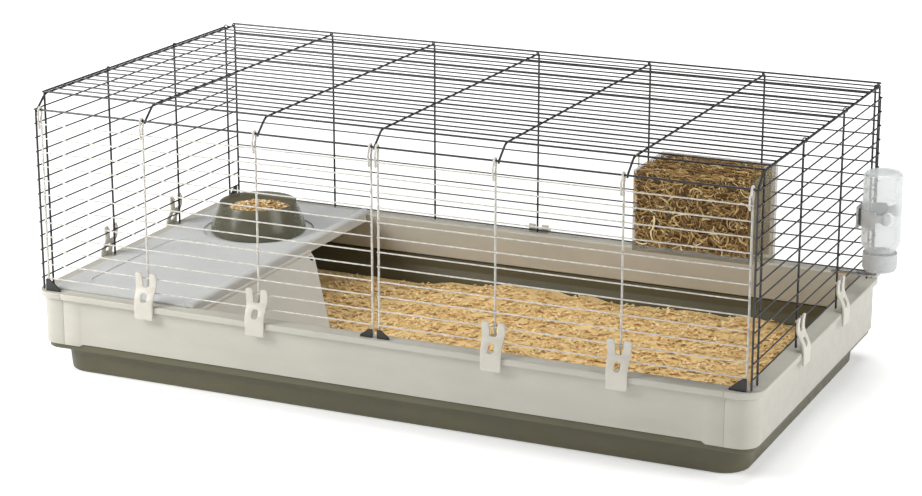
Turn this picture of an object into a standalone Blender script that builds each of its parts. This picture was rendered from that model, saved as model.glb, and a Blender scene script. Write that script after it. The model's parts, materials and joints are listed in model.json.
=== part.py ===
"""Rabbit hutch: a wire top on a two-part plastic base, with a shelf, ramp, feeders and bedding.

Units are metres and +Z is up.  The origin is at the centre of the base's underside, +X runs
along the length and -Y is the front, where the two doors are.
"""
from math import cos, hypot, pi, radians, sin

import bmesh
import bpy
from mathutils import Matrix, Vector

# ---------------------------------------------------------------- driving dimensions
RIM_LENGTH = 1.200          # outer length of the base's rim
RIM_DEPTH = 0.650           # outer depth of the base's rim
BASE_HEIGHT = 0.136         # underside of the tray to the top of the rim
SEAT_GAP = 0.0003           # gap between pieces that touch
RUN_GAP = 0.0004            # gap between pieces that move past each other
LAP = 0.0005                # overlap of two solids that are joined into one piece
TRIM = 0.0002               # step that keeps two joined faces from coinciding
CUT = 0.010                 # how far a cutting solid runs past what it cuts

# base
RIM_RADIUS = 0.035          # plan radius of the rim's corners
RIM_WIDTH = 0.0285          # width of the rim's flat top
RIM_HEIGHT = 0.0095         # height of the flange's edge
SKIRT_SETBACK = 0.008       # flange edge to the skirt's outer face
SKIRT_WALL = 0.0025
SKIRT_INNER_DROP = 0.060    # depth of the skirt's inner wall
SEAM_INSET = 0.0515         # rim end to the seam between the skirt's pieces
LIP_TOP = 0.0538            # top of the tray's lip, above the underside
LIP_HEIGHT = 0.0118
LIP_SETBACK = 0.0108        # flange edge to the tray's lip
PLINTH_SETBACK = 0.0268     # flange edge to the tray's wall
PLINTH_RADIUS = 0.045
TRAY_WALL = 0.0025
TRAY_FLOOR = 0.004
TRAY_DRAFT = 0.004
UPSTAND_SETBACK = 0.0225    # flange edge to the tray's upstand, hidden in the skirt
UPSTAND_TOP = 0.0735

# wire top
WIRE = 0.003                # side of a wire
WIRE_INSET = 0.0125         # flange edge to the middle of the wire walls
ROW_PITCH = 0.0227
FIRST_ROW = 0.0198          # rim to the lowest row of the ends and doors
BACK_FIRST_ROW = 0.0044     # rim to the lowest row of the back
ROWS = 13                   # rows below the roof
CHAMFER = 0.0257            # depth of the roof's sloping front strip
REAR_POST_INSET = 0.0332    # back wall to the last tall post of an end
ROOF_SPACES = 23            # spaces between the roof's long wires
BAYS = 6
PAIR_OFFSET = 0.0025        # sideways step that keeps door hooks beside the roof's cross wires
EDGE_POST = 0.0034          # end wall to the first post of the roof and back

# doors
DOOR_END_GAP = 0.010        # end wall to a door's outer post
DOOR_MID_GAP = 0.0055       # centre line to a door's inner post
HOOK_WALL = 0.0022
HOOK_START, HOOK_END = -20, 285
DOOR_GUSSET = (0.026, 0.019)
MID_GUSSET = (0.020, 0.013)
GUSSET_THICKNESS = 0.0026

# clips, measured from the wire that they hang on
CLIP_WIDTH = 0.036
CLIP_THICKNESS = 0.003
CLIP_SOFT = 0.001           # bevel of the rear clip's upper edge
CLIP_TIP = 0.0095           # wire to the prongs' tips
CLIP_FOOT = 0.0635          # wire to the foot's end
CLIP_NOTCH = 0.012          # width of the notch and of the finger hole
CLIP_NOTCH_DEPTH = 0.024
CLIP_BAR = 0.007            # bridge between the notch and the finger hole
CLIP_HOLE = 0.017           # height of the finger hole
CLIP_WIRE_GAP = 0.0007
CLIP_LUG = 0.0025
CLIP_LUG_WIDTH = 0.006
CLIP_LUG_CLEARANCE = 0.0027
CLIP_WAIST = 0.78           # width at the foot as a share of the width at the prongs
REAR_CLIP_DROP = 0.020      # rim to the rear clip's foot

# shelf and ramp
SHELF_REACH = 0.2805        # rim end to the shelf's free edge
SHELF_SEAT = 0.006          # overlap on the rim's top
SHELF_FLANGE = 0.0027
SHELF_BODY = 0.011
SHELF_SIDE_GAP = 0.001
SHELF_CORNER = 0.010        # plan radius of the shelf's corners
SHELF_LIP_RISE = 0.0055
SHELF_LIP_WIDTH = 0.0165
SHELF_LIP_DROP = 0.0155
BOWL_RECESS = (0.095, 0.003)
BOWL_INSET = (0.1575, 0.1975)    # rim's left end and back to the bowl's centre
PAN_RECESS = (0.170, 0.280, 0.002)
PAN_RADIUS = 0.030
PAN_INSET = 0.140           # rim's left end to the middle of the shallow recess
PAN_Y = -0.120
RAMP_ANGLE = radians(48.7)
RAMP_FOOT_GAP = 0.0015      # ramp's lower edge to the bedding
RAMP_THICKNESS = 0.0025
RAMP_BEAD = 0.0035
RAMP_AXIS_DROP = 0.008      # rim to the ramp's axis
RAMP_SIDE_GAP = 0.0017      # ramp's front edge to the rim or the tray's wall
RAMP_TOP_WIDTH = 0.3675
RAMP_SLANT = 0.096          # how much narrower the ramp is at the bottom
RAMP_CORNER = (0.010, 0.018, 0.004)    # start and end of its upper corner, and its depth
PEG_DOWN = 0.012
PEG_INSET = 0.012
PEG_RADIUS = 0.0032
PEG_HEAD = (0.0046, 0.0014)      # radius and height
PEG_SIDES = 14

# bowl and food
BOWL_BASE, BOWL_RIM = 0.082, 0.066
BOWL_HEIGHT = 0.052
BOWL_WALL = 0.0025
BOWL_FLOOR = 0.006
BOWL_FOOT = 0.020           # height of the upright foot
BOWL_TAPER = 0.006          # inner rim to inner floor
FOOD_GAP = 0.0115           # inner rim to the food
FOOD_DEPTH = 0.026

# hay rack
RACK_LINE_GAP = 0.0034      # cross wire at the last bay line to the rack's left side
RACK_END_GAP = 0.015        # rack's right side to the end wall's wires
RACK_FRONT_GAP = 0.012      # door wires to the rack's open front
RACK_DEPTH = 0.118
RACK_TOP_DROP = 0.0169      # roof to the rack's top
RACK_FRONT_HEIGHT = 0.117
RACK_BACK_HEIGHT = 0.146
RACK_WALL = 0.0025
RACK_HOOK = (0.0028, 0.004)      # thickness of the hooks and how far they run into the walls
HAY_FRONT_STAND = 0.0055    # how far the hay stands out of the rack
HAY_TOP_DROP = 0.0015

# water bottle
BOTTLE_INSET = 0.105        # back wall to the bottle's axis
BOTTLE_GAP = 0.0055         # end wall to the bottle
BOTTLE_RADIUS = 0.031
BOTTLE_WALL = 0.0015
BOTTLE_NECK = 0.022
BOTTLE_FOOT = 0.0703        # rim to the bottle's lower end
BOTTLE_LENGTH = 0.130
CAP_RADIUS = 0.027
CAP_HEIGHT = 0.030
BRACKET_WALL = 0.003
BRACKET_RANGE = (0.110, 0.145)   # above the rim
BRACKET_WIDTH = 0.050
TUBE_RADIUS = 0.004
TUBE_HEIGHT = 0.0311        # rim to the tube's straight run
TUBE_REACH = 0.040          # end wall to the tube's tip, inside the cage
TUBE_STUB = 0.0006          # straight start below the cap
TIP_BORE = (0.0030, 0.010)
BALL_RADIUS = 0.0026
BALL_SHOWS = 0.0008         # how far the ball stands out of the tip

# bedding
BEDDING_GAP = 0.0007        # bedding to the tray's wall
BEDDING_LOW = 0.0265
BEDDING_HIGH = 0.0410
BEDDING_WAVE = 0.0060
BEDDING_SLOPE = (0.1045, 0.2095)    # shelf's edge to where the bedding starts and ends its rise
BEDDING_GRID = (30, 16)

CORNER_STEPS = 6

# ---------------------------------------------------------------- derived places
HALF_LENGTH = RIM_LENGTH / 2
HALF_DEPTH = RIM_DEPTH / 2
WALL_X = HALF_LENGTH - WIRE_INSET
WALL_Y = HALF_DEPTH - WIRE_INSET
RIM_Z = BASE_HEIGHT
HINGE_Z = RIM_Z + FIRST_ROW + (ROWS - 1) * ROW_PITCH
ROOF_Z = HINGE_Z + ROW_PITCH
HALF_WIRE = WIRE / 2
POST_FOOT = RIM_Z + SEAT_GAP
BAY = 2 * WALL_X / BAYS
SHELF_EDGE = -HALF_LENGTH + SHELF_REACH
BOTTLE_X = WALL_X + BOTTLE_GAP + BOTTLE_RADIUS
FLOOR_INSET = PLINTH_SETBACK + TRAY_DRAFT + TRAY_WALL
FLOOR_RADIUS = PLINTH_RADIUS - TRAY_DRAFT
BOWL_PLACE = (-HALF_LENGTH + BOWL_INSET[0], HALF_DEPTH - BOWL_INSET[1])
PAN_PLACE = (-HALF_LENGTH + PAN_INSET, PAN_Y)
RACK_X = (WALL_X - BAY + PAIR_OFFSET + HALF_WIRE + RACK_LINE_GAP, WALL_X - RACK_END_GAP)
RACK_TOP = ROOF_Z - RACK_TOP_DROP
RACK_FRONT = -WALL_Y + RACK_FRONT_GAP
BOTTLE_Y = WALL_Y - BOTTLE_INSET
HOOK_BORE = hypot(HALF_WIRE, HALF_WIRE) + RUN_GAP
CLIP_EDGE = WIRE_INSET + RUN_GAP + TRIM / 2      # wire to the clip's inner face below the rim
RAMP_DROP = RIM_Z - RAMP_AXIS_DROP - BEDDING_LOW - RAMP_FOOT_GAP
RAMP_LENGTH = (RAMP_DROP - RAMP_THICKNESS / 2 * cos(RAMP_ANGLE)) / sin(RAMP_ANGLE)


# ---------------------------------------------------------------- helpers
def clear_scene():
    for item in list(bpy.data.objects):
        bpy.data.objects.remove(item, do_unlink=True)


def material(name, colour, roughness, metallic=0.0, alpha=1.0):
    finish = bpy.data.materials.new(name)
    finish.use_nodes = True
    shader = finish.node_tree.nodes["Principled BSDF"]
    shader.inputs["Base Color"].default_value = (*colour, 1.0)
    shader.inputs["Roughness"].default_value = roughness
    shader.inputs["Metallic"].default_value = metallic
    shader.inputs["Alpha"].default_value = alpha
    return finish


def make_mesh(verts, faces):
    """A closed mesh with its faces pointing out."""
    mesh = bpy.data.meshes.new("piece")
    mesh.from_pydata([tuple(v) for v in verts], [], faces)
    work = bmesh.new()
    work.from_mesh(mesh)
    bmesh.ops.recalc_face_normals(work, faces=work.faces)
    work.to_mesh(mesh)
    work.free()
    return mesh


def add_piece(name, mesh, finish, place=(0, 0, 0), turn=0.0, smooth=True):
    """Put a mesh into the scene as a named sub-part, turned about +Z."""
    piece = bpy.data.objects.new(name, mesh)
    bpy.context.scene.collection.objects.link(piece)
    piece.location = place
    piece.rotation_euler = (0, 0, turn)
    if not mesh.materials:
        mesh.materials.append(finish)
    if smooth:
        mesh.shade_smooth()
        mesh.set_sharp_from_angle(angle=radians(35))
    return piece


def boolean(base, tool, operation):
    """The mesh left by one EXACT Boolean between two closed meshes."""
    body = bpy.data.objects.new("body", base)
    cutter = bpy.data.objects.new("cutter", tool)
    for item in (body, cutter):
        bpy.context.scene.collection.objects.link(item)
    step = body.modifiers.new("step", "BOOLEAN")
    step.object = cutter
    step.operation = operation
    step.solver = "EXACT"
    view = bpy.context.evaluated_depsgraph_get()
    result = bpy.data.meshes.new_from_object(body.evaluated_get(view))
    for item in (body, cutter):
        bpy.data.objects.remove(item, do_unlink=True)
    return result


def merged(meshes):
    """Several separate closed meshes as one mesh datablock."""
    work = bmesh.new()
    for mesh in meshes:
        work.from_mesh(mesh)
    result = bpy.data.meshes.new("pieces")
    work.to_mesh(result)
    work.free()
    return result


def moved(mesh, matrix):
    copy = mesh.copy()
    copy.transform(matrix)
    return copy


def prism(outline, low, high, place):
    """A flat outline pushed from low to high; place turns (a, b, depth) into a point."""
    count = len(outline)
    verts = [place(a, b, depth) for depth in (low, high) for a, b in outline]
    faces = [tuple(range(count)), tuple(range(count, 2 * count))]
    for i in range(count):
        j = (i + 1) % count
        faces.append((i, j, count + j, count + i))
    return make_mesh(verts, faces)


def along_x(a, b, depth):
    return (depth, a, b)


def along_y(a, b, depth):
    return (a, depth, b)


def along_z(a, b, depth):
    return (a, b, depth)


def box(low, high):
    outline = [(low[0], low[1]), (high[0], low[1]), (high[0], high[1]), (low[0], high[1])]
    return prism(outline, low[2], high[2], along_z)


def rounded_outline(half_x, half_y, radius, centre=(0, 0), steps=CORNER_STEPS):
    points = []
    for corner, (sx, sy) in enumerate(((1, 1), (-1, 1), (-1, -1), (1, -1))):
        for step in range(steps + 1):
            angle = pi / 2 * (corner + step / steps)
            points.append((centre[0] + sx * (half_x - radius) + radius * cos(angle),
                           centre[1] + sy * (half_y - radius) + radius * sin(angle)))
    return points


def ring_outline(radius, steps, centre=(0, 0)):
    angles = [2 * pi * n / steps for n in range(steps)]
    return [(centre[0] + radius * cos(a), centre[1] + radius * sin(a)) for a in angles]


def loft(loops):
    """A closed solid through loops of equal length, capped at both ends."""
    count = len(loops[0])
    verts = [point for loop in loops for point in loop]
    faces = [tuple(range(count)), tuple(range(len(verts) - count, len(verts)))]
    for level in range(len(loops) - 1):
        for i in range(count):
            j = (i + 1) % count
            low = level * count
            faces.append((low + i, low + j, low + count + j, low + count + i))
    return make_mesh(verts, faces)


def turned(profile, segments):
    """A solid turned about Z from a profile that starts and ends on the axis."""
    verts, rings = [], []
    for radius, height in profile:
        if radius == 0:
            rings.append([len(verts)])
            verts.append((0, 0, height))
            continue
        rings.append(list(range(len(verts), len(verts) + segments)))
        for step in range(segments):
            angle = 2 * pi * step / segments
            verts.append((radius * cos(angle), radius * sin(angle), height))
    faces = []
    for below, above in zip(rings, rings[1:]):
        for i in range(segments):
            j = (i + 1) % segments
            if len(below) == 1:
                faces.append((below[0], above[i], above[j]))
            elif len(above) == 1:
                faces.append((below[i], below[j], above[0]))
            else:
                faces.append((below[i], below[j], above[j], above[i]))
    return make_mesh(verts, faces)


def swept(path, radius, segments):
    """A round bar along a path that lies in a plane of constant y."""
    loops = []
    for i, point in enumerate(path):
        ahead = Vector(path[min(i + 1, len(path) - 1)])
        behind = Vector(path[max(i - 1, 0)])
        run = (ahead - behind).normalized()
        side = Vector((0, 1, 0))
        up = side.cross(run)
        loops.append([Vector(point) + radius * (side * cos(2 * pi * k / segments)
                                                + up * sin(2 * pi * k / segments))
                      for k in range(segments)])
    return loft(loops)


def lattice(bars, place, half_thickness, extra_rows=()):
    """One solid from crossing bars, each (u0, u1, s0, s1); place turns (u, s, t) into a point."""
    def cuts(values):
        return sorted({round(value, 6) for value in values})

    us = cuts([value for bar in bars for value in bar[:2]])
    ss = cuts([value for bar in bars for value in bar[2:]] + list(extra_rows))

    def filled(i, j):
        if not (0 <= i < len(us) - 1 and 0 <= j < len(ss) - 1):
            return False
        u, s = (us[i] + us[i + 1]) / 2, (ss[j] + ss[j + 1]) / 2
        return any(bar[0] < u < bar[1] and bar[2] < s < bar[3] for bar in bars)

    verts, index, faces = [], {}, []

    def corner(i, j, side):
        key = (i, j, side)
        if key not in index:
            index[key] = len(verts)
            verts.append(place(us[i], ss[j], side * half_thickness))
        return index[key]

    for i in range(len(us) - 1):
        for j in range(len(ss) - 1):
            if not filled(i, j):
                continue
            ring = [(i, j), (i + 1, j), (i + 1, j + 1), (i, j + 1)]
            for side in (-1, 1):
                faces.append(tuple(corner(a, b, side) for a, b in ring))
            neighbours = ((i, j - 1), (i + 1, j), (i, j + 1), (i - 1, j))
            for edge, beyond in enumerate(neighbours):
                if not filled(*beyond):
                    a, b = ring[edge], ring[(edge + 1) % 4]
                    faces.append((corner(*a, -1), corner(*b, -1), corner(*b, 1), corner(*a, 1)))
    return make_mesh(verts, faces)


def band(middle):
    return (middle - HALF_WIRE, middle + HALF_WIRE)


# ---------------------------------------------------------------- base
def tray_loop(inset, height, radius):
    outline = rounded_outline(HALF_LENGTH - inset, HALF_DEPTH - inset, radius)
    return [(x, y, height) for x, y in outline]


def base_tray():
    """The dark tray: floor, drafted wall, outer lip and the upstand inside the skirt."""
    wall_top = LIP_TOP - LIP_HEIGHT
    upstand_inner = UPSTAND_SETBACK + TRAY_WALL
    lip_radius = RIM_RADIUS - LIP_SETBACK
    upstand_radius = RIM_RADIUS - UPSTAND_SETBACK
    inner_radius = upstand_radius - TRAY_WALL
    return loft([
        tray_loop(PLINTH_SETBACK + TRAY_DRAFT, 0.0, FLOOR_RADIUS),
        tray_loop(PLINTH_SETBACK + TRAY_DRAFT / 2, TRAY_FLOOR / 2, PLINTH_RADIUS - TRAY_DRAFT / 2),
        tray_loop(PLINTH_SETBACK, wall_top, PLINTH_RADIUS),
        tray_loop(LIP_SETBACK, wall_top, lip_radius),
        tray_loop(LIP_SETBACK, LIP_TOP, lip_radius),
        tray_loop(UPSTAND_SETBACK, LIP_TOP, upstand_radius),
        tray_loop(UPSTAND_SETBACK, UPSTAND_TOP, upstand_radius),
        tray_loop(upstand_inner, UPSTAND_TOP, inner_radius),
        tray_loop(upstand_inner, LIP_TOP, inner_radius),
        tray_loop(PLINTH_SETBACK + TRAY_WALL, wall_top - TRAY_WALL, PLINTH_RADIUS - TRAY_WALL),
        tray_loop(FLOOR_INSET, TRAY_FLOOR, FLOOR_RADIUS),
    ])


def skirt_profile():
    """Section of the skirt as (inset from the rim's edge, height)."""
    bottom = LIP_TOP + SEAT_GAP
    flange = RIM_Z - RIM_HEIGHT
    edge = 0.0015
    ceiling = RIM_Z - SKIRT_WALL - LAP
    inner_bottom = RIM_Z - SKIRT_INNER_DROP
    return [
        (SKIRT_SETBACK, bottom), (SKIRT_SETBACK, flange - edge / 2), (0.0, flange),
        (0.0, RIM_Z - edge), (edge, RIM_Z), (RIM_WIDTH - edge, RIM_Z),
        (RIM_WIDTH, RIM_Z - edge), (RIM_WIDTH, inner_bottom),
        (RIM_WIDTH - SKIRT_WALL, inner_bottom), (RIM_WIDTH - SKIRT_WALL, ceiling),
        (SKIRT_SETBACK + SKIRT_WALL, ceiling), (SKIRT_SETBACK + SKIRT_WALL, bottom),
    ]


def skirt_side(sign):
    """Straight front (-1) or back (+1) piece between the two seams."""
    reach = HALF_LENGTH - SEAM_INSET - SEAT_GAP / 2
    outline = [(sign * (HALF_DEPTH - inset), height) for inset, height in skirt_profile()]
    return prism(outline, -reach, reach, along_x)


def skirt_end(sign):
    """End piece that wraps both corners, on the left (-1) or right (+1)."""
    seam = HALF_LENGTH - SEAM_INSET + SEAT_GAP / 2
    loops = [[(sign * seam, -(HALF_DEPTH - inset), height) for inset, height in skirt_profile()]]
    for start, side in ((-pi / 2, -1), (0, 1)):
        for step in range(CORNER_STEPS + 1):
            angle = start + pi / 2 * step / CORNER_STEPS
            loops.append([
                (sign * (HALF_LENGTH - RIM_RADIUS + (RIM_RADIUS - inset) * cos(angle)),
                 side * (HALF_DEPTH - RIM_RADIUS) + (RIM_RADIUS - inset) * sin(angle), height)
                for inset, height in skirt_profile()])
    loops.append([(sign * seam, HALF_DEPTH - inset, height) for inset, height in skirt_profile()])
    return loft(loops)


def bedding_height(x, y):
    low, high = (SHELF_EDGE + distance for distance in BEDDING_SLOPE)
    rise = min(max((x - low) / (high - low), 0.0), 1.0)
    rise = rise * rise * (3 - 2 * rise)
    wave = sin(17 * x + 1.3) * cos(21 * y) + 0.5 * sin(41 * x) * sin(37 * y + 0.7)
    return BEDDING_LOW + rise * (BEDDING_HIGH - BEDDING_LOW + BEDDING_WAVE * wave / 1.5)


def bedding():
    """A bed of shavings with a wavy top, low under the shelf and ramp."""
    inset = FLOOR_INSET + BEDDING_GAP
    half_x, half_y = HALF_LENGTH - inset, HALF_DEPTH - inset
    floor = TRAY_FLOOR + SEAT_GAP
    nx, ny = BEDDING_GRID

    def spot(i, j):
        x, y = half_x * (2 * i / nx - 1), half_y * (2 * j / ny - 1)
        cx, cy = half_x - FLOOR_RADIUS, half_y - FLOOR_RADIUS
        dx, dy = abs(x) - cx, abs(y) - cy
        if dx > 0 and dy > 0 and hypot(dx, dy) > FLOOR_RADIUS:
            shrink = FLOOR_RADIUS / hypot(dx, dy)
            x = (cx + dx * shrink) * (1 if x > 0 else -1)
            y = (cy + dy * shrink) * (1 if y > 0 else -1)
        return x, y

    spots = {(i, j): spot(i, j) for i in range(nx + 1) for j in range(ny + 1)}
    top = {key: n for n, key in enumerate(spots)}
    border = ([(i, 0) for i in range(nx)] + [(nx, j) for j in range(ny)]
              + [(i, ny) for i in range(nx, 0, -1)] + [(0, j) for j in range(ny, 0, -1)])
    verts = [(x, y, bedding_height(x, y)) for x, y in spots.values()]
    low = {key: len(verts) + n for n, key in enumerate(border)}
    verts += [(*spots[key], floor) for key in border]
    faces = [(top[i, j], top[i + 1, j], top[i + 1, j + 1], top[i, j + 1])
             for i in range(nx) for j in range(ny)]
    for n, key in enumerate(border):
        ahead = border[(n + 1) % len(border)]
        faces.append((top[key], top[ahead], low[ahead], low[key]))
    faces.append(tuple(low[key] for key in border))
    return make_mesh(verts, faces)


def build_base(finishes):
    add_piece("base_tray", base_tray(), finishes["tray"])
    add_piece("skirt_front", skirt_side(-1), finishes["skirt"])
    add_piece("skirt_back", skirt_side(1), finishes["skirt"])
    add_piece("skirt_left_end", skirt_end(-1), finishes["skirt"])
    add_piece("skirt_right_end", skirt_end(1), finishes["skirt"])
    add_piece("bedding", bedding(), finishes["bedding"])


# ---------------------------------------------------------------- wire top
def end_panel(side):
    """One end wall: posts along Y and rows up to the roof, cut off at both upper corners."""
    front, back = -WALL_Y, WALL_Y
    tall = [front + CHAMFER, -WALL_Y / 3, WALL_Y / 3, back - REAR_POST_INSET]
    bars = [(*band(y), POST_FOOT, ROOF_Z + HALF_WIRE) for y in tall]
    bars += [(*band(y), POST_FOOT, HINGE_Z + HALF_WIRE) for y in (front, back)]
    for row in range(ROWS):
        bars.append((front - HALF_WIRE, back + HALF_WIRE,
                     *band(RIM_Z + FIRST_ROW + row * ROW_PITCH)))
    bars.append((tall[0] - HALF_WIRE, tall[-1] + HALF_WIRE, *band(ROOF_Z)))
    return lattice(bars, lambda u, s, t: (side * WALL_X + t, u, s), HALF_WIRE)


def bay_posts(offset):
    """X of the cross wires of the roof or back: one at each bay line, two at the ends."""
    inner = [-WALL_X + bay * BAY + (0 if bay * 2 == BAYS else offset) for bay in range(1, BAYS)]
    return [-WALL_X + EDGE_POST] + inner + [WALL_X - EDGE_POST]


def back_panel():
    posts = bay_posts(PAIR_OFFSET)
    top = ROOF_Z - HALF_WIRE - RUN_GAP
    bars = [(*band(x), POST_FOOT, top) for x in posts]
    for row in range(ROWS + 1):
        bars.append((posts[0] - HALF_WIRE, posts[-1] + HALF_WIRE,
                     *band(RIM_Z + BACK_FIRST_ROW + row * ROW_PITCH)))
    return lattice(bars, lambda u, s, t: (u, WALL_Y + t, s), HALF_WIRE)


def roof_panel():
    """Roof and its sloping front strip, folded about the strip's upper wire."""
    slope = hypot(CHAMFER, ROW_PITCH)
    run = 2 * WALL_Y - CHAMFER
    up = Vector((0, CHAMFER, ROW_PITCH)) / slope
    out = Vector((0, -ROW_PITCH, CHAMFER)) / slope

    def place(u, s, t):
        if s < slope:
            point = Vector((0, -WALL_Y, HINGE_Z)) + up * s + out * t
            return (u, point.y, point.z)
        return (u, -WALL_Y + CHAMFER + s - slope, ROOF_Z + t)

    posts = bay_posts(PAIR_OFFSET)
    rows = [0.0] + [slope + run * n / ROOF_SPACES for n in range(ROOF_SPACES + 1)]
    bars = [(*band(x), -HALF_WIRE, slope + run + HALF_WIRE) for x in posts]
    bars += [(posts[0] - HALF_WIRE, posts[-1] + HALF_WIRE, *band(s)) for s in rows]
    return lattice(bars, place, HALF_WIRE)


def gusset(width, height, place_at, axis_u, out):
    """Triangular corner plate in the plane of axis_u and Z, lying on the wires' outer side."""
    cut = 0.003
    outline = [(0, 0), (width, 0), (width, cut), (cut * 2, height), (0, height)]
    inner = HALF_WIRE + RUN_GAP
    origin, along, away = Vector(place_at), Vector(axis_u), Vector(out)

    def place(a, b, depth):
        return origin + along * a + Vector((0, 0, b)) + away * depth

    return prism(outline, inner, inner + GUSSET_THICKNESS, place)


def door(side):
    """One top-hung door; side is -1 for the left and +1 for the right."""
    outer = side * (WALL_X - DOOR_END_GAP)
    inner = side * DOOR_MID_GAP
    between = [side * (WALL_X - bay * BAY) for bay in (2, 1)]
    posts = sorted([inner, outer] + [x - PAIR_OFFSET for x in between])
    stem_top = HINGE_Z - HOOK_BORE - HOOK_WALL / 3
    bars = [(*band(x), POST_FOOT, stem_top) for x in posts]
    for row in range(ROWS - 1):
        bars.append((posts[0] - HALF_WIRE, posts[-1] + HALF_WIRE,
                     *band(RIM_Z + FIRST_ROW + row * ROW_PITCH)))
    grille = lattice(bars, lambda u, s, t: (u, -WALL_Y + t, s), HALF_WIRE)
    hooks = merged([hinge_hook(x) for x in posts])
    panel = boolean(grille, hooks, "UNION")
    panel.transform(Matrix.Translation((0, WALL_Y, -HINGE_Z)))
    return panel


def hinge_hook(x):
    """Open ring that wraps the roof's lowest front wire."""
    turns = 10
    outer = HOOK_BORE + HOOK_WALL
    angles = [radians(HOOK_START + (HOOK_END - HOOK_START) * n / turns) for n in range(turns + 1)]
    outline = [(outer * cos(a), outer * sin(a)) for a in angles]
    outline += [(HOOK_BORE * cos(a), HOOK_BORE * sin(a)) for a in reversed(angles)]
    outline = [(-WALL_Y + a, HINGE_Z + b) for a, b in outline]
    return prism(outline, x - HALF_WIRE + TRIM, x + HALF_WIRE - TRIM, along_x)


def clip():
    """H-shaped latch that hangs on a row wire and reaches down over the rim's edge."""
    half = CLIP_WIDTH / 2
    notch = CLIP_NOTCH / 2
    bar_top = CLIP_TIP - CLIP_NOTCH_DEPTH
    bar_foot = bar_top - CLIP_BAR
    hole_foot = bar_foot - CLIP_HOLE
    stand = HALF_WIRE + CLIP_WIRE_GAP + CLIP_THICKNESS / 2
    bulge = CLIP_EDGE + CLIP_THICKNESS / 2
    bend = [(-0.010, 0.0), (-0.022, 0.35), (-0.032, 0.85), (-0.040, 1.0)]
    profile = [(CLIP_TIP, stand)]
    profile += [(s, stand + share * (bulge - stand)) for s, share in bend]
    profile.append((-CLIP_FOOT, bulge))

    def outward(s):
        for (high, a), (low, b) in zip(profile, profile[1:]):
            if s >= low - 1e-9:
                return b + (a - b) * (s - low) / (high - low)
        return profile[-1][1]

    def place(u, s, t):
        share = (CLIP_TIP - s) / (CLIP_TIP + CLIP_FOOT)
        return (u * (1 - (1 - CLIP_WAIST) * share), -outward(s) + t, s)

    bars = [(-half, -notch, -CLIP_FOOT, CLIP_TIP), (notch, half, -CLIP_FOOT, CLIP_TIP),
            (-notch, notch, bar_foot, bar_top), (-notch, notch, -CLIP_FOOT, hole_foot)]
    plate = lattice(bars, place, CLIP_THICKNESS / 2, [s for s, _ in profile])
    outer = -(HALF_WIRE + CLIP_WIRE_GAP) - CLIP_THICKNESS / 2
    middle, half_lug = (half + notch) / 2, CLIP_LUG_WIDTH / 2
    lugs = [box((sign * middle - half_lug, outer, CLIP_LUG_CLEARANCE),
                (sign * middle + half_lug, LAP, CLIP_LUG_CLEARANCE + CLIP_LUG))
            for sign in (-1, 1)]
    return boolean(plate, merged(lugs), "UNION")


def rear_clip():
    """Short latch that hangs on the back's lowest wire and folds over the rim's edge."""
    near = HALF_WIRE + CLIP_WIRE_GAP
    over = BACK_FIRST_ROW - RUN_GAP
    edge, foot = CLIP_EDGE, -BACK_FIRST_ROW - REAR_CLIP_DROP
    thick, soft = CLIP_THICKNESS, CLIP_SOFT
    side_view = [
        (-LAP, CLIP_LUG_CLEARANCE), (near, CLIP_LUG_CLEARANCE), (near, -over), (edge, -over),
        (edge, foot), (edge + thick, foot), (edge + thick, thick / 2 - over),
        (edge + thick / 2, thick - over), (near + thick, thick - over),
        (near + thick, CLIP_TIP - soft), (near + thick - soft, CLIP_TIP), (near, CLIP_TIP),
        (-LAP, CLIP_LUG_CLEARANCE + CLIP_LUG)]
    outline = [(-away, height) for away, height in side_view]
    half, notch = CLIP_WIDTH / 2, CLIP_NOTCH / 2
    body = prism(outline, -half, half, along_x)
    gap = box((-notch, -edge - CUT, thick - over + LAP), (notch, CUT, CLIP_TIP + CUT))
    return boolean(body, gap, "DIFFERENCE")


def clip_places():
    """Name, place and turn of the clips at the front and both ends."""
    row = RIM_Z + FIRST_ROW + ROW_PITCH
    lines = [-WALL_X + bay * BAY for bay in range(1, BAYS) if bay * 2 != BAYS]
    places = [(f"clip_front_{n + 1}", (x - PAIR_OFFSET, -WALL_Y, row), 0.0)
              for n, x in enumerate(lines)]
    for label, side, turn in (("left", -1, -pi / 2), ("right", 1, pi / 2)):
        places += [(f"clip_{label}_{n + 1}", (side * WALL_X, y, row), turn)
                   for n, y in enumerate((-WALL_Y / 3, WALL_Y / 3))]
    return places


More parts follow.
